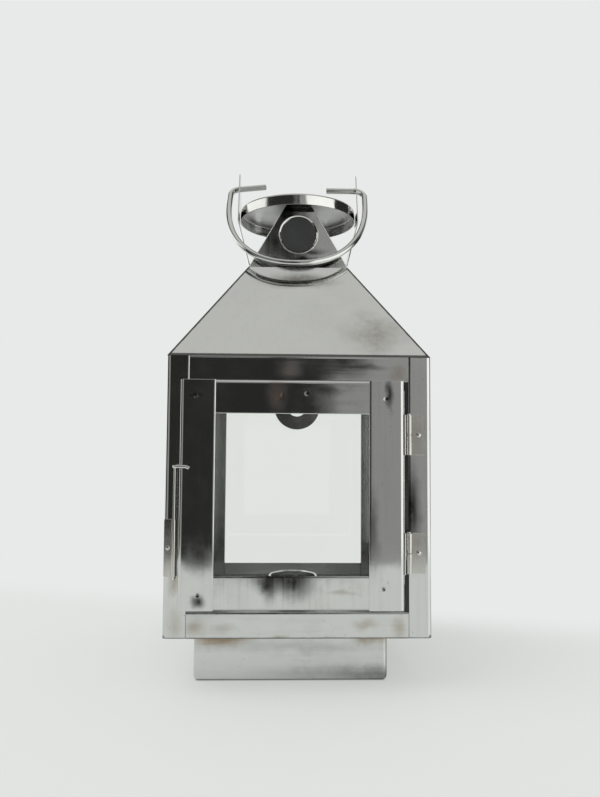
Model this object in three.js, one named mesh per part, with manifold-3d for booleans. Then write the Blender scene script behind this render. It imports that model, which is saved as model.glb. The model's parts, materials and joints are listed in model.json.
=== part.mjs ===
// A square candle lantern of folded stainless sheet: a body on a tray foot, a glazed door on two
// butt hinges with a swinging wire latch, three glass walls held in channels, a hipped roof, and a
// vented chimney under a round cap, between two ears that carry a wire bail.
// Millimetres, +Z up. The door faces -Y and +X is to the right of someone facing it. The origin is
// on the ground, below the middle of the body.

import * as THREE from 'three';
import { mergeVertices } from 'three/addons/utils/BufferGeometryUtils.js';
import Module from 'manifold-3d';

const wasm = await Module();
wasm.setup();

// Sheet and clearances
const sheet = 0.7;
const fit = 0.3;

// Body
const bodyWidth = 160;
const bodyHeight = 167.7;
const postLeg = 13.6;
const postBend = 2.5;
const railHeight = 15;
const rimHeight = 6;
const rimBend = 2;

// Foot, a deep tray that was soldered on a little left of the middle
const footWidth = 120.2;
const footHeight = 31.6;
const footShift = -3.7;
const footBend = 3;
const footFlange = 8;

// Glass walls and their channels
const glassSheet = 2;
const glassPlay = 0.4;
const glassTopGap = 3;
const channelSheet = 0.6;
const channelWidth = 12.8;
const channelTuck = 2.6;
const channelBend = 0.9;

// Candle cup
const cupRadius = 16.3;
const cupHeight = 20.8;
const cupWall = 0.6;
const cupBead = 0.7;
const cupFloorBend = 2;
const cupShift = -1.6;

// Roof
const roofRise = 66.3;
const roofOpening = 68.6;
const roofBend = 1.2;

// Chimney petals, front and back
const petalWidth = 68;
const petalTopWidth = 13.4;
const petalSkirt = 4;
const petalTab = 9;
const petalBend = 1.2;

// Round vents in the petals: an eyelet with a dark roundel in it
const ventHeight = 23;
const ventRadius = 13.2;
const eyeletBead = 0.4;
const eyeletWall = 0.4;
const roundelSheet = 1;

// Cap
const capRadius = 41.6;
const capRim = 7.8;
const capLift = 41.4;
const capDome = 1;
const capBend = 1.6;

// Ears at the left and right of the chimney
const earLeanHeight = 37;
const earHeight = 77.6;
const earTipRadius = 6.5;
const earBend = 4;
const pivotHeight = 66.3;

// Bail
const bailWire = 4.2;
const bailWidth = 97.6;
const bailDrop = 80;
const bailShoulder = 12;
const bailBend = 7;
const bailPower = 1.75;
const bailRestAngle = 34.5;
const bailLeftEnd = 23.4;
const bailRightEnd = 20.9;
const bailLeftTilt = 10;

// Door, by how far its edges lie inside those of the body
const doorLeftInset = 9.4;
const doorRightInset = 17.5;
const doorBottomInset = 17.5;
const doorTopInset = 14.9;
const doorDepth = 6;
const doorGap = 0.6;
const doorBend = 1;
const stileWidth = 20.8;
const doorRailHeight = 20;
const clipInset = 6;
const clipLeg = 4;
const clipLip = 6;
const washerRadius = 13.45;
const washerHole = 5.65;
const washerSheet = 0.7;
const washerX = -1.5;
const washerRise = 4;

// Hinges
const hingeReach = 3.5;
const hingeLength = 24;
const lowerHingeInset = 32.7;
const upperHingeInset = 32.2;
const knuckleRadius = 1.8;
const knuckleGap = 0.2;
const pinRadius = 0.55;
const pinHeadRadius = 1.25;
const leafSheet = 0.8;
const leafWidth = 8;
const leafCorner = 1.1;
const doorLeafWidth = 4.2;
const tongueSheet = 0.8;

// Latch
const latchReach = 3;
const latchInset = 18.6;
const latchTubeLength = 33.8;
const latchTubeRadius = 1.6;
const latchTubeGap = 0.4;
const latchPlateWidth = 6;
const latchWire = 1.8;
const latchStem = 31.3;
const latchArmReach = 6.9;
const latchTip = 2.2;
const latchTipTurn = 24;
const latchBend = 1.5;

// Rivets
const rivetHead = 1.5;
const rivetShank = 0.9;
const rivetRise = 0.8;
const rivetTail = 1.1;
const rivetTailRise = 0.5;

// Places that follow from the sizes above
const half = bodyWidth / 2;
const bodyBase = footHeight;
const bodyTop = bodyBase + bodyHeight;
const roofTop = bodyTop + roofRise;
const postEdge = half - postLeg;
const rimHalf = half - sheet - fit;
const roofSlope = Math.atan2(roofRise, half - roofOpening / 2);
const roofCut = sheet / Math.sin(roofSlope);
const openingHalf = roofOpening / 2 - roofCut;
const petalPlace = openingHalf - fit - sheet / 2;
const capBottom = roofTop + capLift;
const capTop = capBottom + capRim;
const tabTop = capTop - sheet - fit;
const pivotZ = roofTop + pivotHeight;
const earPlace = capRadius + fit + sheet / 2;
const doorLeft = -half + doorLeftInset;
const doorRight = half - doorRightInset;
const doorWidth = doorRight - doorLeft;
const doorBack = -half - doorGap;
const doorFront = doorBack - doorDepth;
const doorBase = bodyBase + doorBottomInset;
const doorTop = bodyTop - doorTopInset;
const doorHeight = doorTop - doorBase;
const windowBottom = doorBase + doorRailHeight;
const windowTop = doorTop - doorRailHeight;
const doorGlassFront = doorFront + 2 * sheet + washerSheet + fit;
const hingeX = doorRight + hingeReach;
const hingeY = -half - knuckleGap - knuckleRadius;
const latchX = doorLeft - latchReach;
const latchY = -half - latchTubeGap - latchTubeRadius;

// Facets of the round shapes
const smallSides = 14;
const knuckleSides = 20;
const largeSides = 48;
const capSides = 60;
const bailSides = 10;
const latchSides = 8;
const cornerSteps = 3;
const beadSteps = 7;
const tipSteps = 10;
const domeSteps = 5;
const bailBendSteps = 6;
const bowSteps = 40;

const X = new THREE.Vector3(1, 0, 0);
const Y = new THREE.Vector3(0, 1, 0);
const Z = new THREE.Vector3(0, 0, 1);
const quarter = Math.PI / 2;

// Shape tools

// The same surface with shared vertices, no empty triangles, and its faces pointing out.
function closed(geometry) {
  const bare = geometry.clone();
  bare.deleteAttribute('normal');
  bare.deleteAttribute('uv');
  const merged = mergeVertices(bare, 1e-4);
  const corners = merged.index.array;
  const at = (i) => new THREE.Vector3().fromBufferAttribute(merged.attributes.position, i);
  const kept = [];
  let volume = 0;
  for (let i = 0; i < corners.length; i += 3) {
    const [a, b, c] = [corners[i], corners[i + 1], corners[i + 2]];
    if (a === b || b === c || c === a) continue;
    kept.push(a, b, c);
    volume += at(a).dot(at(b).cross(at(c)));
  }
  merged.setIndex(volume < 0 ? kept.reverse() : kept);
  return merged;
}

function toSolid(geometry) {
  const shell = closed(geometry);
  const vertProperties = new Float32Array(shell.attributes.position.array);
  const triVerts = new Uint32Array(shell.index.array);
  return new wasm.Manifold(new wasm.Mesh({ numProp: 3, vertProperties, triVerts }));
}

function toGeometry(solid) {
  const mesh = solid.getMesh();
  const geometry = new THREE.BufferGeometry();
  geometry.setAttribute('position', new THREE.BufferAttribute(mesh.vertProperties, 3));
  geometry.setIndex(new THREE.BufferAttribute(mesh.triVerts, 1));
  return geometry;
}

const joined = (first, ...others) =>
  toGeometry(others.reduce((sum, other) => sum.add(toSolid(other)), toSolid(first)));
const cut = (body, ...tools) =>
  toGeometry(tools.reduce((rest, tool) => rest.subtract(toSolid(tool)), toSolid(body)));
const common = (first, second) => toGeometry(toSolid(first).intersect(toSolid(second)));

// A line that runs straight between its corners, with an arc of the given radius at each corner.
// Every point carries the direction of the line there.
function bentLine(corners, radius, steps = 4) {
  const direction = (from, to) => to.clone().sub(from).normalize();
  const line = [{ at: corners[0], along: direction(corners[0], corners[1]) }];
  for (let i = 1; i < corners.length - 1; i++) {
    const back = direction(corners[i], corners[i - 1]);
    const on = direction(corners[i], corners[i + 1]);
    const turn = Math.PI - back.angleTo(on);
    const reach = radius * Math.tan(turn / 2);
    const inward = back.clone().add(on).normalize();
    const centre = corners[i].clone().addScaledVector(inward, radius / Math.cos(turn / 2));
    const start = corners[i].clone().addScaledVector(back, reach).sub(centre);
    const end = corners[i].clone().addScaledVector(on, reach).sub(centre);
    for (let k = 0; k <= steps; k++) {
      const swept = (turn * k) / steps;
      const at = start.clone().multiplyScalar(Math.sin(turn - swept));
      at.addScaledVector(end, Math.sin(swept)).divideScalar(Math.sin(turn)).add(centre);
      const along = end.clone().multiplyScalar(Math.cos(swept));
      along.addScaledVector(start, -Math.cos(turn - swept)).normalize();
      line.push({ at, along });
    }
  }
  const last = corners.length - 1;
  line.push({ at: corners[last], along: direction(corners[last - 1], corners[last]) });
  return line;
}

// The section of a folded strip of sheet, from the corners of its middle line.
function foldedSection(corners, thickness, radius, steps = cornerSteps) {
  const line = bentLine(corners.map(([x, y]) => new THREE.Vector2(x, y)), radius, steps);
  const side = (offset) =>
    line.map(({ at, along }) => new THREE.Vector2(at.x - offset * along.y, at.y + offset * along.x));
  return new THREE.Shape([...side(thickness / 2), ...side(-thickness / 2).reverse()]);
}

const polygon = (points) => new THREE.Shape(points.map(([x, y]) => new THREE.Vector2(x, y)));

function extruded(shape, length, curveSegments = largeSides) {
  return new THREE.ExtrudeGeometry(shape, { depth: length, bevelEnabled: false, curveSegments });
}

// A section drawn in X and Y, extruded upward from z.
const alongZ = (shape, z, length, sides) => extruded(shape, length, sides).translate(0, 0, z);

// A section drawn in Y and Z, extruded along +X from x.
const alongX = (shape, x, length, sides) =>
  extruded(shape, length, sides)
    .applyMatrix4(new THREE.Matrix4().makeBasis(Y, Z, X))
    .translate(x, 0, 0);

// A section drawn in X and Z, extruded along -Y from y.
const alongY = (shape, y, length, sides) =>
  extruded(shape, length, sides)
    .applyMatrix4(new THREE.Matrix4().makeBasis(X, Z, Y.clone().negate()))
    .translate(0, y, 0);

function box([x0, x1], [y0, y1], [z0, z1]) {
  const geometry = new THREE.BoxGeometry(x1 - x0, y1 - y0, z1 - z0);
  return geometry.translate((x0 + x1) / 2, (y0 + y1) / 2, (z0 + z1) / 2);
}

// A bar of round section along Z, from z0 to z1.
function rod(radius, x, y, z0, z1, sides = smallSides) {
  const geometry = new THREE.CylinderGeometry(radius, radius, z1 - z0, sides).rotateX(quarter);
  return geometry.translate(x, y, (z0 + z1) / 2);
}

// A round piece turned about the Z axis from points of radius and height. A profile that doesn't
// start on the axis is a ring, and closes on itself.
function turned(profile, sides = largeSides) {
  const outline = profile[0][0] > 0 ? [...profile, profile[0]] : profile;
  const points = outline.map(([radius, height]) => new THREE.Vector2(radius, height));
  return new THREE.LatheGeometry(points, sides).rotateX(quarter);
}

// Points of an arc about [x, y], from one angle to another in degrees.
function arc([x, y], radius, from, to, steps = cornerSteps) {
  return Array.from({ length: steps + 1 }, (_, k) => {
    const angle = THREE.MathUtils.degToRad(from + ((to - from) * k) / steps);
    return [x + radius * Math.cos(angle), y + radius * Math.sin(angle)];
  });
}

// A square piece: each profile point [half, z, round] is a square ring whose corners have the
// radius round, and a point with no half width lies on the axis. The profile closes on itself.
function squareTurned(profile) {
  const positions = [];
  const rings = profile.map(([reach, z, round]) => {
    const first = positions.length / 3;
    if (reach === 0) {
      positions.push(0, 0, z);
      return () => first;
    }
    for (let corner = 0; corner < 4; corner++) {
      const middle = corner * quarter + quarter / 2;
      const x = Math.sign(Math.cos(middle)) * (reach - round);
      const y = Math.sign(Math.sin(middle)) * (reach - round);
      for (let k = 0; k <= cornerSteps; k++) {
        const angle = (corner + k / cornerSteps) * quarter;
        positions.push(x + round * Math.cos(angle), y + round * Math.sin(angle), z);
      }
    }
    return (k) => first + k;
  });
  const around = 4 * (cornerSteps + 1);
  const index = [];
  rings.forEach((ring, i) => {
    const next = rings[(i + 1) % rings.length];
    for (let k = 0; k < around; k++) {
      const [a, b] = [ring(k), ring((k + 1) % around)];
      const [c, d] = [next((k + 1) % around), next(k)];
      if (a !== b) index.push(a, b, c);
      if (c !== d) index.push(a, c, d);
    }
  });
  const geometry = new THREE.BufferGeometry();
  geometry.setAttribute('position', new THREE.Float32BufferAttribute(positions, 3));
  geometry.setIndex(index);
  return geometry;
}

// A path that is stepped through its own points, with the directions that they carry.
class WirePath extends THREE.Curve {
  constructor(line) {
    super();
    this.line = line;
  }

  knot(share) {
    return this.line[Math.round(share * (this.line.length - 1))];
  }

  getPoint(share, target = new THREE.Vector3()) {
    return target.copy(this.knot(share).at);
  }

  getPointAt(share, target) {
    return this.getPoint(share, target);
  }

  getTangentAt(share, target = new THREE.Vector3()) {
    return target.copy(this.knot(share).along);
  }
}

// A round wire along a line of points with directions.
function wire(line, diameter, sides) {
  const section = polygon(arc([0, 0], diameter / 2, 0, 360, sides).slice(0, sides));
  const extrudePath = new WirePath(line);
  return new THREE.ExtrudeGeometry(section, { steps: line.length - 1, extrudePath });
}

// Finishes and the assembly

const finish = (color, roughness, metalness) =>
  new THREE.MeshStandardMaterial({ color, roughness, metalness });
const polished = () => finish(0xb4b6b3, 0.16, 1);
const satin = () => finish(0xb8b6b0, 0.3, 1);
const plated = () => finish(0xa9a59a, 0.3, 1);
const darkened = () => finish(0x2f3230, 0.45, 0.6);
const clearGlass = () => {
  const material = finish(0xe6ebe8, 0.05, 0);
  material.transparent = true;
  material.opacity = 0.25;
  return material;
};

const lantern = new THREE.Group();
const door = new THREE.Group();
const latch = new THREE.Group();
const carrier = new THREE.Group();
lantern.add(door, latch, carrier);

function place(name, geometry, material, parent = lantern) {
  const mesh = new THREE.Mesh(closed(geometry), material);
  mesh.name = name;
  parent.add(mesh);
  return mesh;
}

// Foot, floor and frame

// The foot: a tray with rounded corners and lower edges, and a flange turned in under the floor.
function footTray() {
  const reach = footWidth / 2;
  const round = (at) => Math.max(footBend - (reach - at), 0);
  const outer = arc([reach - footBend, footBend], footBend, -90, 0);
  const inner = arc([reach - footBend, footBend], footBend - sheet, 0, -90);
  const profile = [
    [0, 0],
    ...outer,
    [reach, footHeight],
    [reach - footFlange, footHeight],
    [reach - footFlange, footHeight - sheet],
    [reach - sheet, footHeight - sheet],
    ...inner,
    [0, sheet],
  ];
  return squareTurned(profile.map(([at, z]) => [at, z, round(at)]));
}

// The floor: a plate with a rim turned up inside the posts and rails.
function floorPan() {
  const inner = Math.max(rimBend - sheet, 0);
  return squareTurned([
    [0, bodyBase, 0],
    [rimHalf, bodyBase, rimBend],
    [rimHalf, bodyBase + rimHeight, rimBend],
    [rimHalf - sheet, bodyBase + rimHeight, inner],
    [rimHalf - sheet, bodyBase + sheet, inner],
    [0, bodyBase + sheet, 0],
  ]);
}

place('foot', footTray(), satin()).position.x = footShift;
place('floor_pan', floorPan(), satin());

const rivetHole = rivetShank + fit;
const throughY = (radius, x, z, from, to) =>
  rod(radius, 0, 0, from, to).rotateX(quarter).translate(x, 0, z);
const throughX = (radius, y, z, from, to) =>
  rod(radius, 0, 0, from, to).rotateY(quarter).translate(0, y, z);

const hingeHeights = { lower: doorBase + lowerHingeInset, upper: doorTop - upperHingeInset };
const leafStart = hingeX + knuckleRadius + fit;
const hingeRivetX = leafStart + leafWidth / 2;
const tubeBase = doorBase + latchInset;
const tubeTop = tubeBase + latchTubeLength;
const latchZ = (tubeBase + tubeTop) / 2;
const latchPlateEdge = latchX - latchPlateWidth;
const latchRivetX = -half + postBend + fit;

// One corner post, drawn for the front right corner: two legs of folded sheet.
function cornerPost() {
  const middle = half - sheet / 2;
  const section = foldedSection(
    [[postEdge, -middle], [middle, -middle], [middle, -postEdge]],
    sheet,
    postBend - sheet / 2,
  );
  return alongZ(section, bodyBase, bodyHeight);
}

const drill = (x, z) => throughY(rivetHole, x, z, half - postBend, half + sheet);
const plainPost = cornerPost();
const postShapes = {
  front_right_post: cut(
    plainPost,
    ...Object.values(hingeHeights).map((z) => drill(hingeRivetX, z)),
  ),
  back_right_post: plainPost,
  back_left_post: plainPost,
  front_left_post: cut(
    plainPost,
    drill(latchRivetX, latchZ).rotateZ(quarter),
  ),
};
Object.entries(postShapes).forEach(([name, shape], k) => {
  place(name, shape, polished()).rotation.z = k * quarter;
});

// One rail, drawn for the front: a flat strip between two posts.
function rail(z) {
  const reach = postEdge - fit;
  return box([-reach, reach], [-half, -half + sheet], [z, z + railHeight]);
}

const sides = ['front', 'right', 'back', 'left'];
sides.forEach((side, k) => {
  place(`${side}_bottom_rail`, rail(bodyBase), satin()).rotation.z = k * quarter;
  place(`${side}_top_rail`, rail(bodyTop - railHeight), polished()).rotation.z = k * quarter;
});

// Glass walls

const channelBack = -(rimHalf - sheet - fit);
const slot = glassSheet + 2 * glassPlay;
const channelFront = channelBack + slot + 2 * channelSheet;
const channelEnd = postEdge + channelTuck;
const paneBase = bodyBase + sheet + fit;

// One glass channel, drawn for the right end of the front wall: a U that opens to the middle.
function glassChannel() {
  const [outer, inner] = [channelBack + channelSheet / 2, channelFront - channelSheet / 2];
  const mouth = channelEnd - channelWidth;
  const end = channelEnd - channelSheet / 2;
  const section = foldedSection(
    [[mouth, outer], [end, outer], [end, inner], [mouth, inner]],
    channelSheet,
    channelBend,
  );
  return alongZ(section, paneBase, bodyTop - fit - paneBase);
}

// One pane, drawn for the front wall: it stands on the floor between two channels.
function wallPane() {
  const reach = channelEnd - channelSheet - glassPlay;
  const front = channelBack + channelSheet + glassPlay;
  return box([-reach, reach], [front, front + glassSheet], [paneBase, bodyTop - glassTopGap]);
}

sides.slice(1).forEach((side, k) => {
  const turn = (k + 1) * quarter;
  place(`${side}_glass`, wallPane(), clearGlass()).rotation.z = turn;
  place(`${side}_channel_a`, glassChannel(), polished()).rotation.z = turn;
  place(`${side}_channel_b`, glassChannel().scale(-1, 1, 1), polished()).rotation.z = turn;
});

// Candle cup

// A pressed cup with a rounded foot and a beaded rim, standing on the floor.
function candleCup() {
  const innerBend = cupFloorBend - cupWall;
  return turned([
    [0, 0],
    ...arc([cupRadius - cupFloorBend, cupFloorBend], cupFloorBend, -90, 0),
    ...arc([cupRadius - cupWall + cupBead, cupHeight - cupBead], cupBead, -60, 180, beadSteps),
    ...arc([cupRadius - cupFloorBend, cupFloorBend], innerBend, 0, -90),
    [0, cupWall],
  ]);
}

place('candle_cup', candleCup(), polished()).position.set(cupShift, 0, bodyBase + sheet);

// Roof and chimney

// The roof: a hipped shell with an eave turned down inside the posts and rails.
function roofShell() {
  const reach = roofOpening / 2;
  const rimInner = rimHalf - sheet;
  const seam = bodyTop + (half - roofCut - rimInner) * Math.tan(roofSlope);
  const tight = Math.max(roofBend - sheet, 0);
  return squareTurned([
    [rimHalf, bodyTop - rimHeight, rimBend],
    [rimHalf, bodyTop, rimBend],
    [half, bodyTop, roofBend],
    [reach, roofTop, roofBend],
    [openingHalf, roofTop, tight],
    [rimInner, seam, rimBend - sheet],
    [rimInner, bodyTop - rimHeight, rimBend - sheet],
  ]);
}

place('roof', roofShell(), satin());

const ventZ = roofTop + ventHeight;
const ventHole = ventRadius - eyeletBead + fit;

// The front petal: a triangle with a skirt inside the roof, a round vent, and its tip folded in
// under the cap.
function petal() {
  const skirt = petalPlace + sheet / 2;
  const shoulder = roofTop + fit;
  const tabMiddle = tabTop - sheet / 2;
  const strip = foldedSection(
    [
      [-petalPlace, roofTop - petalSkirt],
      [-petalPlace, tabMiddle],
      [-petalPlace + petalTab, tabMiddle],
    ],
    sheet,
    petalBend,
  );
  const edge = [
    [skirt, roofTop - petalSkirt],
    [skirt, shoulder],
    [petalWidth / 2, shoulder],
    [petalTopWidth / 2, tabTop - petalBend],
    [petalTopWidth / 2, capTop],
  ];
  const outline = polygon([...edge, ...edge.map(([x, z]) => [-x, z]).reverse()]);
  const folded = common(
    alongX(strip, -petalWidth / 2, petalWidth),
    alongY(outline, 0, petalPlace + 2 * sheet),
  );
  const bore = rod(ventHole, 0, 0, 0, half, largeSides).rotateX(quarter).translate(0, 0, ventZ);
  return cut(folded, bore);
}

// The eyelet, turned about Z with its bead upward: a neck through the petal with a bead in front
// and a flange behind. Height 0 is the front face of the petal.
function eyelet() {
  const neck = ventRadius - eyeletBead;
  const back = -sheet - fit;
  return turned([
    [neck - eyeletWall, back - eyeletWall],
    [ventRadius + eyeletWall, back - eyeletWall],
    [ventRadius + eyeletWall, back],
    [neck, back],
    [neck, fit / 2],
    ...arc([ventRadius, eyeletBead + fit / 2], eyeletBead, -90, 120, beadSteps),
    [neck - eyeletWall, eyeletBead],
  ]);
}

function roundel() {
  const radius = ventRadius - eyeletBead - eyeletWall - fit;
  const edge = roundelSheet / 4;
  return turned([
    [0, -roundelSheet],
    [radius, -roundelSheet],
    [radius, -edge],
    [radius - edge, 0],
    [0, 0],
  ]);
}

['front', 'back'].forEach((side, k) => {
  const chimney = new THREE.Group();
  chimney.rotation.z = 2 * k * quarter;
  lantern.add(chimney);
  place(`${side}_petal`, petal(), polished(), chimney);
  const vent = new THREE.Group();
  vent.rotation.x = quarter;
  vent.position.set(0, -petalPlace - sheet / 2, ventZ);
  chimney.add(vent);
  place(`${side}_eyelet`, eyelet(), polished(), vent);
  place(`${side}_roundel`, roundel(), darkened(), vent);
});

// The cap: a round lid with a rolled-down rim and a slightly domed top.
function cap() {
  const flat = capRadius - capBend;
  const innerBend = capBend - sheet;
  const dome = (height) =>
    Array.from({ length: domeSteps }, (_, k) => {
      const share = k / domeSteps;
      return [flat * share, height + capDome * (1 - share * share)];
    });
  const edge = [flat, capTop - capBend];
  return turned(
    [
      ...dome(capTop - sheet),
      ...arc(edge, innerBend, 90, 0),
      [capRadius - sheet, capBottom],
      [capRadius, capBottom],
      ...arc(edge, capBend, 0, 90),
      ...dome(capTop).reverse(),
    ],
    capSides,
  );
}

place('cap', cap(), polished());

// The right ear: a tall triangle that leans out past the cap and carries the bail at its tip. Its
// sides run as tangents into the round tip.
function ear() {
  const tip = roofTop + earHeight;
  const strip = foldedSection(
    [
      [petalPlace, roofTop - petalSkirt],
      [petalPlace, roofTop],
      [earPlace, roofTop + earLeanHeight],
      [earPlace, tip],
    ],
    sheet,
    earBend,
  );
  const reach = petalPlace - sheet / 2 - fit;
  const rise = earHeight - earTipRadius;
  const tangent = Math.acos(earTipRadius / Math.hypot(reach, rise)) - Math.atan2(rise, reach);
  const from = THREE.MathUtils.radToDeg(tangent);
  const outline = polygon([
    [-reach, roofTop - petalSkirt],
    [reach, roofTop - petalSkirt],
    [reach, roofTop],
    ...arc([0, tip - earTipRadius], earTipRadius, from, 180 - from, tipSteps),
    [-reach, roofTop],
  ]);
  const folded = common(alongY(strip, reach, 2 * reach), alongX(outline, 0, earPlace + half));
  return cut(folded, throughX(bailWire / 2 + fit, 0, pivotZ, 0, half));
}

place('right_ear', ear(), polished());
place('left_ear', ear(), polished()).rotation.z = 2 * quarter;

// Bail

// The bail in its own plane, hanging down -Y from the pivot line: each end runs in through an ear,
// the legs drop, and the bow between them is a superellipse.
function bailLine() {
  const leg = bailWidth / 2;
  const slant = (x) => (x - earPlace) * Math.tan(THREE.MathUtils.degToRad(bailLeftTilt));
  const leftEnd = new THREE.Vector3(-bailLeftEnd, -slant(bailLeftEnd), 0);
  const leftCorner = new THREE.Vector3(-leg, -slant(leg), 0);
  const rightCorner = new THREE.Vector3(leg, 0, 0);
  const rightEnd = new THREE.Vector3(bailRightEnd, 0, 0);
  const shoulder = (side) => new THREE.Vector3(side * leg, -bailShoulder, 0);
  const bowAt = (angle) => {
    const power = 2 / bailPower;
    const across = -Math.sign(Math.cos(angle)) * Math.abs(Math.cos(angle)) ** power;
    const down = Math.abs(Math.sin(angle)) ** power;
    return new THREE.Vector3(leg * across, -bailShoulder - (bailDrop - bailShoulder) * down, 0);
  };
  const bow = Array.from({ length: bowSteps - 1 }, (_, k) => {
    const angle = (Math.PI * (k + 1)) / bowSteps;
    const step = Math.PI / bowSteps / 4;
    const along = bowAt(angle + step).sub(bowAt(angle - step)).normalize();
    return { at: bowAt(angle), along };
  });
  return [
    ...bentLine([leftEnd, leftCorner, shoulder(-1)], bailBend, bailBendSteps),
    ...bow,
    ...bentLine([shoulder(1), rightCorner, rightEnd], bailBend, bailBendSteps),
  ];
}

// The pivot line is X, and the bail leans forward from hanging straight down.
carrier.position.z = pivotZ;
const bail = place('bail', wire(bailLine(), bailWire, bailSides), polished(), carrier);
bail.rotation.x = quarter - THREE.MathUtils.degToRad(bailRestAngle);

// Door

// A stile: a full-height strip with its outer edge folded back. Side is -1 left, 1 right.
function stile(side) {
  const outer = (side < 0 ? doorLeft : doorRight) - (side * sheet) / 2;
  const edge = side < 0 ? doorLeft + stileWidth : doorRight - stileWidth;
  const face = doorFront + sheet / 2;
  const section = foldedSection([[outer, doorBack], [outer, face], [edge, face]], sheet, doorBend);
  return alongZ(section, doorBase, doorHeight);
}

const stileFlange = doorRight - sheet / 2;
const doorRivetY = doorFront + doorBend + (hingeY - doorFront) / 2 - tongueSheet / 2;
const doorRivetHoles = Object.values(hingeHeights).map((z) =>
  throughX(rivetHole, doorRivetY, z, stileFlange - sheet, stileFlange + sheet),
);

place('door_left_stile', stile(-1), polished(), door);
place('door_right_stile', cut(stile(1), ...doorRivetHoles), polished(), door);

// A rail of the door: it runs behind the faces of both stiles, with its outer edge folded back.
function doorRail(outerZ, innerZ) {
  const fold = outerZ + (Math.sign(innerZ - outerZ) * sheet) / 2;
  const face = doorFront + sheet * 1.5;
  const section = foldedSection([[doorBack, fold], [face, fold], [face, innerZ]], sheet, doorBend);
  const inset = sheet / 2 + doorBend + fit;
  return alongX(section, doorLeft + inset, doorWidth - 2 * inset);
}

place('door_top_rail', doorRail(doorTop, windowTop), polished(), door);
place('door_bottom_rail', doorRail(doorBase, windowBottom), satin(), door);

const glassBack = doorGlassFront + glassSheet;

// A clip that holds one edge of the pane: a leg on the back of the stile, a web and a lip.
function glassClip(side) {
  const web = side < 0 ? doorLeft + clipInset : doorRight - clipInset;
  const leg = doorFront + sheet + channelSheet / 2;
  const lip = glassBack + fit + channelSheet / 2;
  const section = foldedSection(
    [[web + side * clipLeg, leg], [web, leg], [web, lip], [web - side * clipLip, lip]],
    channelSheet,
    channelBend / 2,
  );
  return alongZ(section, windowBottom + fit, windowTop - windowBottom - 2 * fit);
}

place('door_left_clip', glassClip(-1), polished(), door);
place('door_right_clip', glassClip(1), polished(), door);

const paneInset = clipInset + channelSheet / 2 + glassPlay;
const doorPane = box(
  [doorLeft + paneInset, doorRight - paneInset],
  [doorGlassFront, glassBack],
  [doorBase + sheet + fit, doorTop - sheet - 2 * fit],
);
place('door_glass', doorPane, clearGlass(), door);

// The washer that is welded to the back of the top rail and hangs into the window.
function washer() {
  const ring = new THREE.Shape();
  ring.absarc(washerX, windowTop + washerRise, washerRadius, 0, 2 * Math.PI);
  const hole = new THREE.Path();
  hole.absarc(washerX, windowTop + washerRise, washerHole, 0, 2 * Math.PI);
  ring.holes.push(hole);
  return alongY(ring, doorFront + 2 * sheet + washerSheet, washerSheet, largeSides / 2);
}

place('door_washer', washer(), satin(), door);

// Hinges

// A rivet, turned about Z: a domed head above 0, and a tail behind the sheets that it holds.
function rivet(sheets) {
  const grip = sheets + fit;
  return turned(
    [
      [0, -grip - rivetTailRise],
      [rivetTail, -grip - rivetTailRise],
      [rivetTail, -grip],
      [rivetShank, -grip],
      [rivetShank, 0],
      ...arc([0, 0], 1, 0, 90).map(([out, up]) => [rivetHead * out, rivetRise * up]),
    ],
    smallSides,
  );
}

function knuckle(x, y, z, length, radius) {
  return rod(radius, x, y, z, z + length, knuckleSides);
}

// The plate of a post leaf, drawn from its knuckle side, with its two far corners rounded.
function leafPlate(low, high) {
  const [start, end] = [leafStart, leafStart + leafWidth];
  const [near, far] = [low + leafCorner, high - leafCorner];
  const outline = polygon([
    [start, high],
    [start, low],
    ...arc([end - leafCorner, near], leafCorner, -90, 0),
    ...arc([end - leafCorner, far], leafCorner, 0, 90),
  ]);
  return alongY(outline, -half, leafSheet);
}

Object.entries(hingeHeights).forEach(([level, middle]) => {
  const [low, high] = [middle - hingeLength / 2, middle + hingeLength / 2];
  const barrel = hingeLength / 2 - fit / 2;
  const bore = rod(pinRadius + fit, hingeX, hingeY, low - 1, high + 1);

  // The post leaf lies on the post and holds the lower half of the knuckle.
  const plate = [-half - leafSheet, -half];
  const postLeaf = cut(
    joined(
      leafPlate(low, high),
      box([hingeX, leafStart + sheet], plate, [low, low + barrel]),
      knuckle(hingeX, hingeY, low, barrel, knuckleRadius),
    ),
    bore,
    throughY(rivetHole, hingeRivetX, middle, half - sheet, half + 2 * leafSheet),
  );
  place(`${level}_hinge_post_leaf`, postLeaf, plated());

  // The door leaf lies on the edge of the door and steps out to the upper half of the knuckle.
  const tongue = [hingeY - tongueSheet / 2, hingeY + tongueSheet / 2];
  const leafFace = [doorRight, doorRight + leafSheet];
  const doorLeaf = cut(
    joined(
      box(leafFace, [tongue[1] - doorLeafWidth, tongue[1]], [low, high]),
      box([doorRight, hingeX], tongue, [high - barrel, high]),
      knuckle(hingeX, hingeY, high - barrel, barrel, knuckleRadius),
    ),
    bore,
    throughX(rivetHole, doorRivetY, middle, doorRight - sheet, doorRight + 2 * leafSheet),
  );
  place(`${level}_hinge_door_leaf`, doorLeaf, plated(), door);

  // The pin: a shank through both halves with a flat head on top.
  const pin = turned(
    [
      [0, -hingeLength],
      [pinRadius, -hingeLength],
      [pinRadius, fit],
      [pinHeadRadius, fit],
      [pinHeadRadius, fit + pinRadius],
      [0, fit + pinRadius],
    ],
    smallSides,
  );
  place(`${level}_hinge_pin`, pin, plated()).position.set(hingeX, hingeY, high);

  const postRivet = place(`${level}_hinge_post_rivet`, rivet(leafSheet + sheet), plated());
  postRivet.position.set(hingeRivetX, -half - leafSheet, middle);
  postRivet.rotation.x = quarter;

  const doorRivet = place(`${level}_hinge_door_rivet`, rivet(leafSheet + sheet), plated(), door);
  doorRivet.position.set(doorRight + leafSheet, doorRivetY, middle);
  doorRivet.rotation.y = quarter;
});

// Latch

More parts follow.
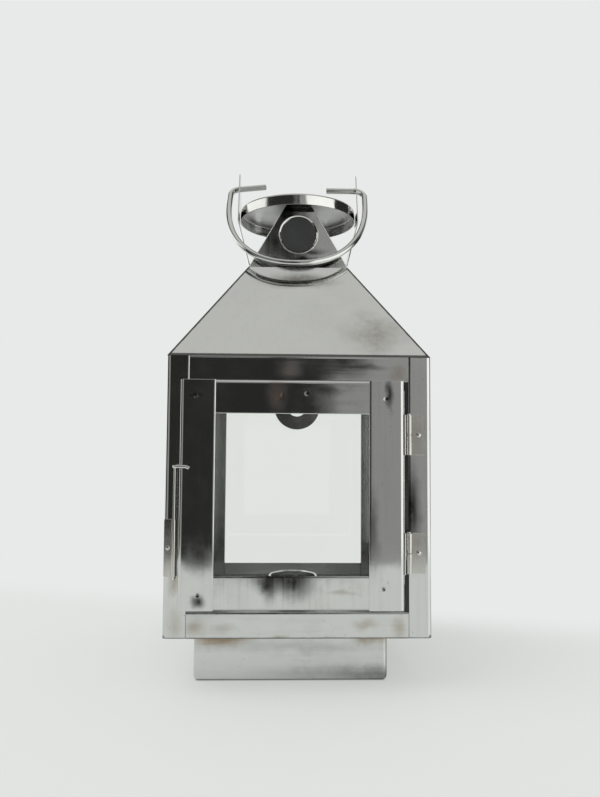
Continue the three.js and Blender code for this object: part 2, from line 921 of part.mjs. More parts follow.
const latchPlate = cut(
  joined(
    box(
      [latchPlateEdge, latchX],
      [-half - leafSheet, -half],
      [tubeBase, tubeTop],
    ),
    knuckle(latchX, latchY, tubeBase, latchTubeLength, latchTubeRadius),
  ),
  rod(latchWire / 2 + fit, latchX, latchY, tubeBase - 1, tubeTop + 1),
  throughY(rivetHole, latchRivetX, latchZ, half - sheet, half + 2 * leafSheet),
);
place('latch_plate', latchPlate, plated());

const latchRivet = place('latch_rivet', rivet(leafSheet + sheet), plated());
latchRivet.position.set(latchRivetX, -half - leafSheet, latchZ);
latchRivet.rotation.x = quarter;

// The latch wire turns in its tube, and its arm reaches forward and across the edge of the door,
// where its tip is bent down.
const armY = doorFront - fit - latchWire / 2 - latchY;
const armZ = tubeTop + latchStem;
const tipTurn = THREE.MathUtils.degToRad(latchTipTurn);
const latchCorners = [
  new THREE.Vector3(0, 0, tubeBase - latchWire),
  new THREE.Vector3(0, 0, armZ),
  new THREE.Vector3(0, armY, armZ),
  new THREE.Vector3(latchArmReach, armY, armZ),
  new THREE.Vector3(
    latchArmReach + latchTip * Math.cos(tipTurn),
    armY,
    armZ - latchTip * Math.sin(tipTurn),
  ),
];
latch.position.set(latchX, latchY, 0);
place('latch_wire', wire(bentLine(latchCorners, latchBend), latchWire, latchSides), polished(), latch);

export default lantern;
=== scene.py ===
import json
import math

import bmesh
import bpy
import numpy as np
from mathutils import Matrix, Vector


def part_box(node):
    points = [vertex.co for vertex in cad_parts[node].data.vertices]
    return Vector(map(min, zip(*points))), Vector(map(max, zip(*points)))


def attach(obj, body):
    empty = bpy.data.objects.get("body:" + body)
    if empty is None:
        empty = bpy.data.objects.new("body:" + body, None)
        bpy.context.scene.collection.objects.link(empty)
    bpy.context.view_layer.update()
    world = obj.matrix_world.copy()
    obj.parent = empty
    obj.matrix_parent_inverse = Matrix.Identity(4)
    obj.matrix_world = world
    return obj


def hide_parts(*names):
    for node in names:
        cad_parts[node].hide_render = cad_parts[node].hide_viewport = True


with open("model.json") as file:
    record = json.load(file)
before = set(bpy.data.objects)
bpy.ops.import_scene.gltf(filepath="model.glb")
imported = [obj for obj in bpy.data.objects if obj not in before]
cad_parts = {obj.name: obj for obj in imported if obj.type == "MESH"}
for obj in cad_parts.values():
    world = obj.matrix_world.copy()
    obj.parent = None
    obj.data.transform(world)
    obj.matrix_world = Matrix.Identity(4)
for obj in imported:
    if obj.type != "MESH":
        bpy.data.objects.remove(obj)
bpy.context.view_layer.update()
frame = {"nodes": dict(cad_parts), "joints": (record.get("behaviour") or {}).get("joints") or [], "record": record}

# A square candle lantern of polished sheet steel on a pale floor, in metres, +Z up, door facing -Y.

MM = 0.001

# Sheet, bends and wire, as the lantern is made
SHEET = 0.7 * MM
POST_BEND = 2.5 * MM
DOOR_BEND = 1.8 * MM
FOOT_BEND = 3.0 * MM
FOOT_FLANGE = 8.0 * MM
SLIVER = 0.05 * MM
ROOF_BEND = 1.2 * MM
ROOF_OPENING = 34.3 * MM
RIM_BEND = 2.0 * MM
FIT = 0.3 * MM
CAP_BEND = 1.6 * MM
CAP_DOME = 1.0 * MM
CUP_WALL = 0.6 * MM
CUP_BEAD = 0.7 * MM
CUP_BEND = 2.0 * MM
EYELET_WALL = 0.4 * MM
EYELET_BEAD = 0.4 * MM
EYELET_LIFT = 0.15 * MM
ROUNDEL_SHEET = 1.0 * MM
ROUNDEL_EDGE = 0.25 * MM
ROUNDEL_DISH = 0.12 * MM
WASHER_HOLE = 5.65 * MM
WASHER_EDGE = 0.15 * MM
LEAF_SHEET = 0.8 * MM
LEAF_CORNER = 1.1 * MM
KNUCKLE_RADIUS = 1.8 * MM
KNUCKLE_WALL = 0.75 * MM
KNUCKLE_GAP = 0.15 * MM
KNUCKLE_SWEEP = 335
PIN_RADIUS = 0.9 * MM
PIN_HEAD = 0.55 * MM
PIN_ROUND = 0.3 * MM
RIVET_SHANK = 0.9 * MM
RIVET_RISE = 0.8 * MM
RIVET_EDGE = 0.2 * MM
LATCH_TUBE_RADIUS = 1.6 * MM
LATCH_TUBE_WALL = 0.4 * MM
LATCH_WIRE = 1.8 * MM
LATCH_BEND = 1.5 * MM
LATCH_CORNER = 0.6 * MM
LATCH_REACH = 6.9 * MM
LATCH_TIP = 2.2 * MM
LATCH_TIP_TURN = math.radians(24)
BAIL_WIRE = 4.2 * MM

# Cut edges, and the strip behind the slit beside the door, painted black as the slit's shade
EDGE = 0.12 * MM
ROLL = 1.3 * MM
ROLL_TURN = math.radians(15)
SLIT_STRIP_REACH = 2.4 * MM
SLIT_STRIP_DEPTH = 1.6 * SHEET
PANE_EDGE = 0.2 * MM
PETAL_EDGE = 0.3 * MM
BAR_EDGE = 0.06 * MM

# The bail in its own plane, and its lean from hanging straight down
BAIL_LEG = 48.8 * MM
BAIL_DROP = 80.0 * MM
BAIL_SHOULDER = 14.0 * MM
BAIL_BEND = 7.0 * MM
BAIL_POWER = 2.35
BAIL_LEAN = math.radians(34.5)
BAIL_SWAY = 0.035
BAIL_LEFT_END = 23.4 * MM
BAIL_RIGHT_END = 20.9 * MM
BAIL_LEFT_TILT = math.radians(10.0)
EAR_PLACE = 42.25 * MM

# The camera: focal length in pixels of the picture, place, and turns
PICTURE = (600, 797)
FOCAL_PIXELS = 669.42
CAMERA_PLACE = (-11.19 * MM, -483.19 * MM, 150.11 * MM)
CAMERA_PITCH = 0.0586
CAMERA_YAW = -0.0288
CAMERA_ROLL = 0.0068

QUARTER = math.pi / 2


# Shapes

def finished(name, mesh, body, material, nodes, sharp=35):
    """A piece made of the mesh: normals out, smooth but for edges over the sharp angle, riding on
    the body and standing for the CAD nodes."""
    work = bmesh.new()
    work.from_mesh(mesh)
    bmesh.ops.remove_doubles(work, verts=work.verts, dist=1e-7)
    bmesh.ops.recalc_face_normals(work, faces=work.faces)
    work.to_mesh(mesh)
    work.free()
    mesh.shade_smooth()
    mesh.set_sharp_from_angle(angle=math.radians(sharp))
    piece = bpy.data.objects.new(name, mesh)
    bpy.context.scene.collection.objects.link(piece)
    mesh.materials.append(material)
    weights = piece.modifiers.new("flat faces stay flat", "WEIGHTED_NORMAL")
    weights.keep_sharp = True
    weights.weight = 50
    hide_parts(*nodes)
    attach(piece, body)
    return piece


def sheet_grid(points, round_u=False):
    """Vertices and faces of a grid points[u, v] whose v runs round: each face joins neighbours in u and
    v. If u runs round too the grid closes, and if not its first and last rows are single faces."""
    rows, columns = points.shape[:2]
    number = np.arange(rows * columns).reshape(rows, columns)
    if round_u:
        number = np.vstack([number, number[:1]])
    number = np.hstack([number, number[:, :1]])
    quads = np.stack([number[:-1, :-1], number[:-1, 1:], number[1:, 1:], number[1:, :-1]], -1)
    faces = quads.reshape(-1, 4).tolist()
    if not round_u:
        faces += [number[0, :columns].tolist(), number[-1, :columns].tolist()]
    return points.reshape(-1, 3), faces


def meshed(name, *grids):
    """One mesh of several grids of vertices and faces, each a closed body."""
    vertices, faces, first = [], [], 0
    for points, corners in grids:
        vertices.append(points)
        faces += [[first + corner for corner in face] for face in corners]
        first += len(points)
    mesh = bpy.data.meshes.new(name)
    mesh.from_pydata(np.vstack(vertices).tolist(), [], faces)
    return mesh


def arc(centre, radius, start, end, steps=10):
    """Points of an arc: centre + radius * (cos a, sin a), a from start to end in degrees."""
    angle = np.radians(np.linspace(start, end, steps + 1))
    return np.asarray(centre) + radius * np.stack([np.cos(angle), np.sin(angle)], -1)


def bent(corners, radius, steps=10):
    """Points of a line that is straight between its corners and turns on an arc at each of the inner
    ones. The arc starts radius * tan(turn / 2) before the corner and its centre lies on the inner
    bisector, radius / cos(turn / 2) away."""
    corners = [np.asarray(corner, float) for corner in corners]
    parts = [corners[:1]]
    for before, corner, after in zip(corners, corners[1:], corners[2:]):
        back = (before - corner) / np.linalg.norm(before - corner)
        on = (after - corner) / np.linalg.norm(after - corner)
        turn = math.pi - math.acos(np.clip(back @ on, -1, 1))
        centre = corner + (back + on) / np.linalg.norm(back + on) * radius / math.cos(turn / 2)
        reach = radius * math.tan(turn / 2)
        first, last = corner + back * reach - centre, corner + on * reach - centre
        share = np.linspace(0, turn, steps + 1)[:, None]
        swept = (first * np.sin(turn - share) + last * np.sin(share)) / math.sin(turn)
        parts.append(centre + swept)
    return np.vstack([*parts, corners[-1:]])


def thickened(line, thickness):
    """The closed outline of a strip of sheet whose middle line is given: the line moved by half the
    thickness to each side along its normal, with cut ends that bulge by an eighth of it."""
    along = np.gradient(line, axis=0)
    along[0], along[-1] = line[1] - line[0], line[-1] - line[-2]
    along /= np.linalg.norm(along, axis=1, keepdims=True)
    normal = np.stack([-along[:, 1], along[:, 0]], -1)
    half = thickness / 2
    swing = np.radians(np.linspace(60, -60, 5))[:, None]

    def bulge(at, out, up):
        return at + out * np.cos(swing) * half / 4 + up * np.sin(swing) * half

    start = bulge(line[0], -along[0], -normal[0])
    end = bulge(line[-1], along[-1], normal[-1])
    return np.vstack([line + normal * half, end, (line - normal * half)[::-1], start])


def rolled(line, back):
    """The line with its last stretch easing towards back, as a cut edge of sheet does: points
    (r sin a, r (1 - cos a)) with r = stretch / turn and a from 0 to the turn."""
    inward = (line[-2] - line[-1]) / np.linalg.norm(line[-2] - line[-1])
    radius = ROLL / ROLL_TURN
    swing = np.linspace(0, ROLL_TURN, 7)[:, None]
    start = line[-1] + inward * ROLL
    eased = start - inward * radius * np.sin(swing) + np.asarray(back) * radius * (1 - np.cos(swing))
    return np.vstack([line[:-1], eased])


def turned_to(axis, points):
    """Points drawn as (a, b, along) laid out so that along is the given axis."""
    return np.roll(points, {"Z": 0, "X": 1, "Y": 2}[axis], axis=-1)


def strip(line, thickness, axis, low, high):
    """A folded strip: the thickened line carried along an axis, with its two ends drawn in by a small
    edge."""
    levels = [(low, EDGE), (low + EDGE, 0), (high - EDGE, 0), (high, EDGE)]
    rows = []
    for level, inset in levels:
        outline = thickened(line, thickness - 2 * inset)
        rows.append(np.column_stack([outline, np.full(len(outline), level)]))
    return sheet_grid(turned_to(axis, np.stack(rows)))


def lathe(profile, centre, axis="Z", sides=96):
    """A turned piece: profile points (r, h) swept round the axis, as (r cos a, r sin a, h) + centre.
    A profile that starts on the axis is capped by its own first and last rings."""
    profile = np.asarray(profile, float)
    solid = profile[0, 0] == 0
    if solid:
        profile = profile[1:-1]
    angle = np.linspace(0, 2 * math.pi, sides, endpoint=False)
    radius, height = profile[:, :1], profile[:, 1:]
    rings = [radius * np.cos(angle), radius * np.sin(angle), height + 0 * angle]
    points = turned_to(axis, np.stack(rings, -1)) + np.asarray(centre)
    return sheet_grid(points, round_u=not solid)


def square_lathe(profile, centre=(0, 0, 0), steps=8, closed=False):
    """A square piece: each profile row (half, z, round) is a square ring of that half width whose
    corners are arcs of the radius round."""
    profile = np.asarray(profile, float)
    angle = np.radians(np.concatenate([np.linspace(90 * k, 90 * k + 90, steps + 1) for k in range(4)]))
    corner = np.repeat(np.arange(4), steps + 1) * QUARTER + QUARTER / 2
    sign_x, sign_y = np.sign(np.cos(corner)), np.sign(np.sin(corner))
    half, height, bend = profile[:, :1], profile[:, 1:2], profile[:, 2:]
    x = sign_x * (half - bend) + bend * np.cos(angle)
    y = sign_y * (half - bend) + bend * np.sin(angle)
    points = np.stack([x, y, height + 0 * x], -1) + np.asarray(centre)
    return sheet_grid(points, round_u=closed)


def tube(path, radius, beside, sides=32, edge=0.3 * MM):
    """A round wire: rings r * (n cos a + (t x n) sin a) about the path, where t is its tangent and n is
    t x beside. The two ends are drawn in by a small edge."""
    along = np.gradient(path, axis=0)
    along /= np.linalg.norm(along, axis=1, keepdims=True)
    doubled = np.r_[0, 0 : len(path), len(path) - 1]
    path, along = path[doubled], along[doubled]
    path[1] += along[0] * edge
    path[-2] -= along[-1] * edge
    normal = np.cross(along, beside)
    normal /= np.linalg.norm(normal, axis=1, keepdims=True)
    across = np.cross(along, normal)
    size = np.full((len(path), 1, 1), radius)
    size[[0, -1]] -= edge
    angle = np.linspace(0, 2 * math.pi, sides, endpoint=False)[None, :, None]
    ring = normal[:, None] * np.cos(angle) + across[:, None] * np.sin(angle)
    return sheet_grid(path[:, None] + size * ring)


def quarter_turned(grid, turns):
    """The grid of vertices turned about Z by quarter turns."""
    points, faces = grid
    c, s = round(math.cos(turns * QUARTER)), round(math.sin(turns * QUARTER))
    return points @ np.array([[c, s, 0], [-s, c, 0], [0, 0, 1]]), faces


def slab(node, material, edge):
    """A flat plate: the rectangle of its two longer sides at four levels of its thickness, drawn in by
    the edge at the outer two."""
    low, high = span(node)
    thin = int(np.argmin(high - low))
    across = [(thin + 1) % 3, (thin + 2) % 3]
    middle, half = (low + high)[across] / 2, (high - low)[across] / 2
    sign = np.array([(-1, -1), (1, -1), (1, 1), (-1, 1)])
    levels = [(low[thin], edge), (low[thin] + edge, 0), (high[thin] - edge, 0), (high[thin], edge)]
    rows = [np.column_stack([middle + sign * (half - inset), np.full(4, level)]) for level, inset in levels]
    return made(node, material, sheet_grid(turned_to("XYZ"[thin], np.stack(rows))))


def dressed(node, material, edge=EDGE):
    """A copy of a CAD node with its triangles merged into whole faces and its edges rounded."""
    mesh = frame["nodes"][node].data.copy()
    work = bmesh.new()
    work.from_mesh(mesh)
    bmesh.ops.remove_doubles(work, verts=work.verts, dist=1e-6)
    flat = math.radians(0.5)
    bmesh.ops.dissolve_limit(work, angle_limit=flat, verts=work.verts, edges=work.edges)
    work.to_mesh(mesh)
    work.free()
    mesh.materials.clear()
    piece = finished(f"{node}_finished", mesh, body_of[node], material, [node])
    bevel = piece.modifiers.new("edge", "BEVEL")
    bevel.width, bevel.segments, bevel.limit_method = edge, 2, "ANGLE"
    bevel.angle_limit = math.radians(40)
    bevel.use_clamp_overlap = True
    piece.modifiers.move(piece.modifiers.find("edge"), 0)
    return piece


def made(node, material, *grids, sharp=35):
    """A piece of the given grids that stands for one CAD node."""
    return finished(f"{node}_finished", meshed(node, *grids), body_of[node], material, [node], sharp)


# Shader maths

class Value:
    """One output of a shader node, with arithmetic on its numbers."""

    def __init__(self, shader, socket):
        self.shader, self.socket = shader, socket

    def maths(self, operation, *values):
        return self.shader.add("ShaderNodeMath", {"operation": operation}, dict(enumerate(values)))

    def __add__(self, other):
        return self.maths("ADD", self, other)

    def __radd__(self, other):
        return self.maths("ADD", other, self)

    def __sub__(self, other):
        return self.maths("SUBTRACT", self, other)

    def __rsub__(self, other):
        return self.maths("SUBTRACT", other, self)

    def __mul__(self, other):
        return self.maths("MULTIPLY", self, other)

    def __rmul__(self, other):
        return self.maths("MULTIPLY", other, self)

    def __abs__(self):
        return self.maths("ABSOLUTE", self)

    def smooth(self, low, high):
        """0 below low, 1 above high, and a smooth step between."""
        settings = {"interpolation_type": "SMOOTHSTEP"}
        sockets = {"Value": self, "From Min": low, "From Max": high}
        return self.shader.add("ShaderNodeMapRange", settings, sockets)

    def band(self, low, high, soft):
        """1 between low and high, fading to 0 over soft outside them."""
        return self.smooth(low - soft, low) * (1 - self.smooth(high, high + soft))


# Outputs of the texture coordinate and light path nodes, by number
FACING, PLACE = 1, 3
CAMERA_RAY, SHADOW_RAY, GLOSSY_RAY, TRANSMISSION_RAY = 0, 1, 3, 6

BUMP_DEPTH = 1.2 * MM


class Shader:
    """Adds nodes to one node tree."""

    def __init__(self, tree):
        self.tree = tree
        tree.nodes.clear()

    def add(self, kind, settings=None, sockets=None, output=0):
        """A new node with its settings and its sockets' numbers or links, as the Value of one output."""
        node = self.tree.nodes.new(kind)
        for name, value in (settings or {}).items():
            setattr(node, name, value)
        for name, value in (sockets or {}).items():
            if isinstance(value, Value):
                self.tree.links.new(value.socket, node.inputs[name])
            else:
                node.inputs[name].default_value = value
        return Value(self, node.outputs[output]) if node.outputs else node

    def place(self):
        """The point on the piece, in the lantern's frame at rest."""
        return self.add("ShaderNodeTexCoord", None, None, PLACE)

    def split(self, place):
        node = self.tree.nodes.new("ShaderNodeSeparateXYZ")
        self.tree.links.new(place.socket, node.inputs[0])
        return [Value(self, socket) for socket in node.outputs]

    def noise(self, place, scale, detail=2.0, rough=0.5):
        sockets = {"Vector": place, "Scale": scale, "Detail": detail, "Roughness": rough}
        return self.add("ShaderNodeTexNoise", None, sockets)

    def stretched(self, place, x, y, z):
        return self.add("ShaderNodeMapping", None, {"Vector": place, "Scale": (x, y, z)})

    def ragged(self, place, scale, reach):
        """The place moved in x and z by noise, so that what is drawn there gets an uneven outline."""
        colour = self.add("ShaderNodeTexNoise", None, {"Vector": place, "Scale": scale, "Detail": 4.0}, 1)
        shift = self.add("ShaderNodeVectorMath", {"operation": "SUBTRACT"}, {0: colour, 1: (0.5, 0.5, 0.5)})
        settings = {"operation": "MULTIPLY_ADD"}
        return self.add("ShaderNodeVectorMath", settings, {0: shift, 1: (reach, 0, reach), 2: place})

    def blend(self, share, first, second):
        settings = {"data_type": "RGBA", "clamp_factor": True}
        return self.add("ShaderNodeMix", settings, {0: share, 6: first, 7: second}, 2)

    def spot(self, place, centre, reach, soft=0.5):
        """1 inside an ellipsoid about the centre, fading to 0 at its reach."""
        settings = {"operation": "SUBTRACT"}
        away = self.add("ShaderNodeVectorMath", settings, {0: place, 1: [c * MM for c in centre]})
        size = [1 / (r * MM) for r in reach]
        scaled = self.add("ShaderNodeVectorMath", {"operation": "MULTIPLY"}, {0: away, 1: size})
        far = self.add("ShaderNodeVectorMath", {"operation": "LENGTH"}, {0: scaled}, 1)
        return 1 - far.smooth(soft, 1.0)

    def metal(self, base, metallic, roughness, height):
        """Metal whose surface rises and falls by the height."""
        sockets = {"Strength": 1.0, "Distance": BUMP_DEPTH, "Height": height}
        bump = self.add("ShaderNodeBump", None, sockets)
        sockets = {"Base Color": base, "Metallic": metallic, "Roughness": roughness, "Normal": bump}
        return self.add("ShaderNodeBsdfPrincipled", None, sockets)


def shaded(name, paint):
    """A material whose surface is the shader that paint(shader) returns."""
    material = bpy.data.materials.new(name)
    material.use_nodes = True
    shader = Shader(material.node_tree)
    shader.add("ShaderNodeOutputMaterial", None, {"Surface": paint(shader)})
    return material


body_of = {
    node: body for body, nodes in frame["record"]["behaviour"]["bodies"].items() for node in nodes
}


def span(node):
    """The node's lowest and highest corners as two rows of numbers."""
    return np.array([list(corner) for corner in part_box(node)])


def pivot(name):
    """A point on the joint's axis."""
    return next(joint for joint in frame["joints"] if joint["name"] == name)["pos_m"]


# Finishes

STEEL = (0.60, 0.605, 0.59, 1)
STAIN = (0.30, 0.235, 0.165, 1)
DIM_GREY = (0.10, 0.10, 0.095, 1)
DARK = (0.035, 0.035, 0.033, 1)
DEEP = (0.10, 0.10, 0.097, 1)
RUST = (0.30, 0.15, 0.085, 1)
BLACK = (0.006, 0.006, 0.006, 1)
CLOUDED = (0.42, 0.42, 0.405, 1)


def steel(
    name, colour=STEEL, rough=0.06, smudge=0.06, wave=0.35, stain=0.0, patches=(), dimples=(), along="Z",
    highlight_slant=None, shaded_lower_edge=None,
):
    """Polished sheet: cloudy smudges in its roughness, streaks along the strip, slow waves of
    hand-worked sheet, brown stains, ragged patches (centre, reach, colour, strength, dullness) of
    stain, rust, darkening, painted shade and painted reflections, and weld dimples (centre), in
    millimetres of the lantern's frame. A highlight slant (half, low, fall) paints a highlight on the
    petals' cut edges, where |x| = half - (z - low) * fall. A shaded lower edge (height, width) is
    painted dark as shade."""

    def paint(s):
        place = s.place()
        long = (16, 420, 420) if along == "X" else (420, 420, 16)
        cloud = s.noise(place, 42, 4, 0.6).smooth(0.38, 0.72)
        fine = s.noise(place, 260, 3, 0.6)
        streak = s.noise(s.stretched(place, *long), 1, 3, 0.6)
        grain = s.noise(s.stretched(place, *(2 * v for v in long)), 1, 2, 0.5)
        specks = s.noise(place, 620, 1, 0.4).smooth(0.745, 0.80)
        base = s.blend(cloud * 0.10 + streak.smooth(0.42, 0.8) * 0.16, colour, CLOUDED)
        base = s.blend(specks * 0.5, base, STAIN)
        if stain:
            brown = s.noise(place, 28, 5, 0.65).smooth(0.54, 0.80)
            base = s.blend(brown * streak.smooth(0.3, 0.6) * stain, base, STAIN)
        roughness = rough + cloud * smudge + (fine - 0.5) * 0.04 + streak.smooth(0.5, 0.8) * 0.05
        metal = 1.0
        ragged_place = s.ragged(place, 75, 8 * MM)
        patchy = 0.35 + streak * 0.6 + s.noise(place, 150, 4, 0.6) * 0.7
        # patches of stain, rust and darkening, and painted shade and reflections, each ragged at its edge
        for centre, reach, tint, strength, dull in patches:
            mask = s.spot(ragged_place, centre, reach, 0.0) * patchy
            base = s.blend(mask * strength, base, tint)
            roughness = roughness + mask * 0.08
            metal = metal - mask * dull
        swell = s.noise(s.stretched(place, *(v / 7 for v in long)), 1, 1.5, 0.4)
        # painted shade along the lower edge
        if shaded_lower_edge:
            bottom, width = shaded_lower_edge
            z = s.split(place)[2] * (1 / MM)
            rim = 1 - (z + (fine - 0.5) * 0.4).smooth(bottom + width * 0.5, bottom + width)
            base = s.blend(rim * 0.75, base, DARK)
        # painted highlight along the petals' slanted cut edges: near-white, dull and not metal
        if highlight_slant:
            half, low, fall = highlight_slant
            x, _, z = (part * (1 / MM) for part in s.split(place))
            inward = (half + low * fall - z * fall - abs(x)) * math.cos(math.atan(fall))
            cut = (1 - inward.smooth(0.45, 0.85)) * z.smooth(low, low + 0.5)
            base = s.blend(cut, base, (0.90, 0.90, 0.88, 1))
            metal = metal - cut * 0.95
            roughness = roughness + cut * 0.3
        height = s.noise(place, 17, 1.5, 0.45) * wave + swell * 0.4 * wave
        height = height + grain * 0.0035 + fine * 0.004
        for centre in dimples:
            pit = s.spot(place, centre, (1.7, 9, 1.7), 0.1)
            base = s.blend(pit * 0.9 * s.noise(place, 400, 2, 0.5).smooth(0.25, 0.55), base, DIM_GREY)
            height = height - pit * 0.10
        return s.metal(base, metal, roughness, height)

    return shaded(name, paint)


def hipped(name):
    """The roof's sheet: a dark soldered seam where |x| = |y|, painted shade on the turned eave, streaks
    down the slopes, a dull patch at the right and painted shade under the bail."""

    def paint(s):
        place = s.place()
        x, y, z = (part * (1 / MM) for part in s.split(place))
        off = abs(abs(x) - abs(y))
        uneven = s.noise(place, 300, 3, 0.6)
        seam = 1 - (off + uneven * 0.7).smooth(1.7, 2.5)
        # painted shade on the turned eave
        eave = 1 - (z + uneven * 0.3).smooth(200.7, 201.3)
        cloud = s.noise(place, 30, 4, 0.6).smooth(0.4, 0.75)
        fine = s.noise(place, 260, 3, 0.6)
        streak = s.noise(s.stretched(place, 300, 300, 30), 1, 3, 0.6).smooth(0.45, 0.8)
        base = s.blend(cloud * 0.14 + streak * 0.10, (0.625, 0.63, 0.615, 1), (0.44, 0.44, 0.42, 1))
        smear = s.spot(s.ragged(place, 50, 30 * MM), (50, -66, 215), (29, 40, 19), 0.0) * (0.3 + uneven)
        base = s.blend(smear * 0.9, base, (0.30, 0.285, 0.25, 1))
        # painted shade under the bail
        shade = s.spot(s.ragged(place, 60, 6 * MM), (0, -45, 255), (35, 60, 8), 0.0) * (0.6 + uneven)
        base = s.blend(shade * 0.75, base, (0.15, 0.14, 0.12, 1))
        base = s.blend(seam * 0.95, base, (0.035, 0.035, 0.032, 1))
        # the eave's painted shade
        base = s.blend(eave * 0.9, base, (0.05, 0.05, 0.047, 1))
        roughness = 0.06 + cloud * 0.08 + streak * 0.03 + smear * 0.12 + eave * 0.2
        height = s.noise(place, 15, 1.5, 0.45) * 0.2 + fine * 0.004
        return s.metal(base, 1.0, roughness, height)

    return shaded(name, paint)


def spun(name):
    """The cap's sheet: polished outside, satin below, with rings left by the spinning and painted shade
    in the corner under the rim."""

    def paint(s):
        place = s.place()
        facing = s.split(s.add("ShaderNodeTexCoord", None, None, FACING))[2]
        below = 1 - facing.smooth(-0.9, -0.3)
        x, y, _ = s.split(place)
        out = s.add("ShaderNodeMath", {"operation": "SQRT"}, {0: x * x + y * y}) * (1 / MM)
        rings = s.add("ShaderNodeMath", {"operation": "SINE"}, {0: out * 7 + s.noise(place, 60, 2, 0.5) * 5})
        cloud = s.noise(place, 45, 4, 0.6).smooth(0.35, 0.75)
        # painted shade in the corner under the rim
        corner = out.smooth(33.5, 37.5) * below
        base = s.blend(cloud * 0.25, (0.62, 0.62, 0.605, 1), CLOUDED)
        base = s.blend(corner * 0.35, base, DIM_GREY)
        roughness = 0.09 + cloud * 0.07 + below * 0.30
        height = rings * below * 0.01 + s.noise(place, 70, 3, 0.5) * 0.25
        return s.metal(base, 1.0, roughness, height)

    return shaded(name, paint)


def enamelled(name, colour):
    """A dark, even, slightly dusty disc."""

    def paint(s):
        place = s.place()
        dust = s.noise(place, 90, 4, 0.6).smooth(0.45, 0.8)
        grain = s.noise(place, 1500, 2, 0.5)
        base = s.blend(dust * 0.12 + grain * 0.04, colour, (0.09, 0.09, 0.085, 1))
        bump = s.add("ShaderNodeBump", None, {"Strength": 0.3, "Distance": 0.05 * MM, "Height": grain})
        sockets = {"Base Color": base, "Roughness": 0.42 + dust * 0.15, "Normal": bump}
        return s.add("ShaderNodeBsdfPrincipled", None, sockets)

    return shaded(name, paint)


def glass(name, colour, bending):
    """Clear window glass that lets lamplight through, with a few faint smears."""

    def paint(s):
        place = s.place()
        smear = s.noise(s.stretched(place, 1, 1, 0.4), 30, 4, 0.6).smooth(0.58, 0.85)
        sockets = {
            "Base Color": colour,
            "Roughness": smear * 0.035,
            "IOR": bending,
            "Transmission Weight": 1.0,
        }
        pane = s.add("ShaderNodeBsdfPrincipled", None, sockets)
        clear = s.add("ShaderNodeBsdfTransparent", None, {"Color": (0.93, 0.94, 0.935, 1)})
        shadow = s.add("ShaderNodeLightPath", None, None, SHADOW_RAY)
        return s.add("ShaderNodeMixShader", None, {0: shadow, 1: pane, 2: clear})

    return shaded(name, paint)


# Dimples and patches of the sheets, painted shade and reflections among them, as steel() takes them

STILE_DIMPLES = [(-61.3, -86.6, 174.6), (51.5, -86.6, 173.5), (-58.6, -86.6, 58.5), (50.0, -86.6, 62.0)]
STILE_MARKS = [
    ((-58.0, -86.6, 55.0), (6.5, 3, 6.0), DARK, 1.0, 0),
    ((-61.3, -86.6, 174.6), (4.5, 3, 3.0), DARK, 0.9, 0),
    ((54.0, -86.6, 176.0), (3.6, 3, 14), DARK, 0.95, 0),
    ((43.5, -86.6, 95.0), (6.0, 3, 34), DEEP, 0.7, 0),
    ((-58.0, -86.6, 82.0), (15.0, 3, 15), DARK, 0.85, 0),
]
TOP_RAIL_DIMPLES = [(-9.9, -85.9, 175.1), (4.4, -85.9, 176.3)]
TOP_RAIL_MARKS = [
    ((-13.5, -85.9, 176.0), (9.5, 3, 15), RUST, 0.6, 0.11),
    ((-9.9, -85.9, 174.6), (3.4, 3, 4), DARK, 0.8, 0),
    ((14.0, -85.9, 178.0), (16, 3, 5), DARK, 0.7, 0),
]
LOW_RAIL_MARKS = [
    ((-17.0, -85.9, 66.0), (9, 3, 16), DARK, 1.0, 0),
    ((-12.0, -85.9, 70.5), (27, 3, 15), DARK, 0.9, 0),
    ((-1.0, -85.9, 67.0), (15, 3, 17), DARK, 0.95, 0),
    ((26.0, -85.9, 60.0), (12, 3, 2.5), STAIN, 0.35, 0),
]
FRAME_TOP_RUST_AND_SHADE = [
    ((-6.0, -80.0, 191.0), (11, 3, 10), RUST, 0.35, 0.06),
    ((60.0, -80.0, 190.0), (8, 3, 8), RUST, 0.4, 0.03),
    # painted shade: a thin dark band along the top of the rail
    ((34.0, -80.0, 193.5), (24, 3, 3), DARK, 0.8, 0),
]
FRAME_LOW_MARKS = [
    ((-60.0, -80.0, 38.5), (9, 4, 8), STAIN, 0.45, 0),
    ((-44.0, -80.0, 37.0), (14, 4, 5), STAIN, 0.25, 0),
    ((40.0, -80.0, 39.5), (12, 4, 4), STAIN, 0.4, 0),
    ((60.0, -80.0, 38.0), (6, 4, 8), STAIN, 0.5, 0),
    ((-12.0, -80.0, 33.5), (10, 4, 1.5), STAIN, 0.5, 0),
]
POST_LOW = span("front_right_post")[0, 2] / MM
SLIT_X, SLIT_Y = (span("front_right_post")[0, :2] / MM + (0, 0.85)).tolist()
POST_DIMPLES = [(-79.6, -79.6, POST_LOW + 0.9), (78.9, -79.6, POST_LOW + 0.9)]
POST_STAINS_AND_SHADE = [
    # painted shade: the slit beside the door, black and dull over the strip behind it
    ((SLIT_X, SLIT_Y, 110.0), (6.5, 0.8, 900), BLACK, 2.0, 1.0),
    ((SLIT_X - 1.5, SLIT_Y, 110.0), (6.5, 0.8, 900), BLACK, 2.0, 0.5),
    # painted shade on the right post between the hinges
    ((67.5, -80.0, 108.0), (8.0, 4, 42), DARK, 1.0, 0),
    ((-73.0, -80.0, 65.0), (5.0, 4, 11), STAIN, 0.6, 0.04),
    ((-73.0, -80.0, 40.0), (6.0, 4, 12), STAIN, 0.35, 0),
]
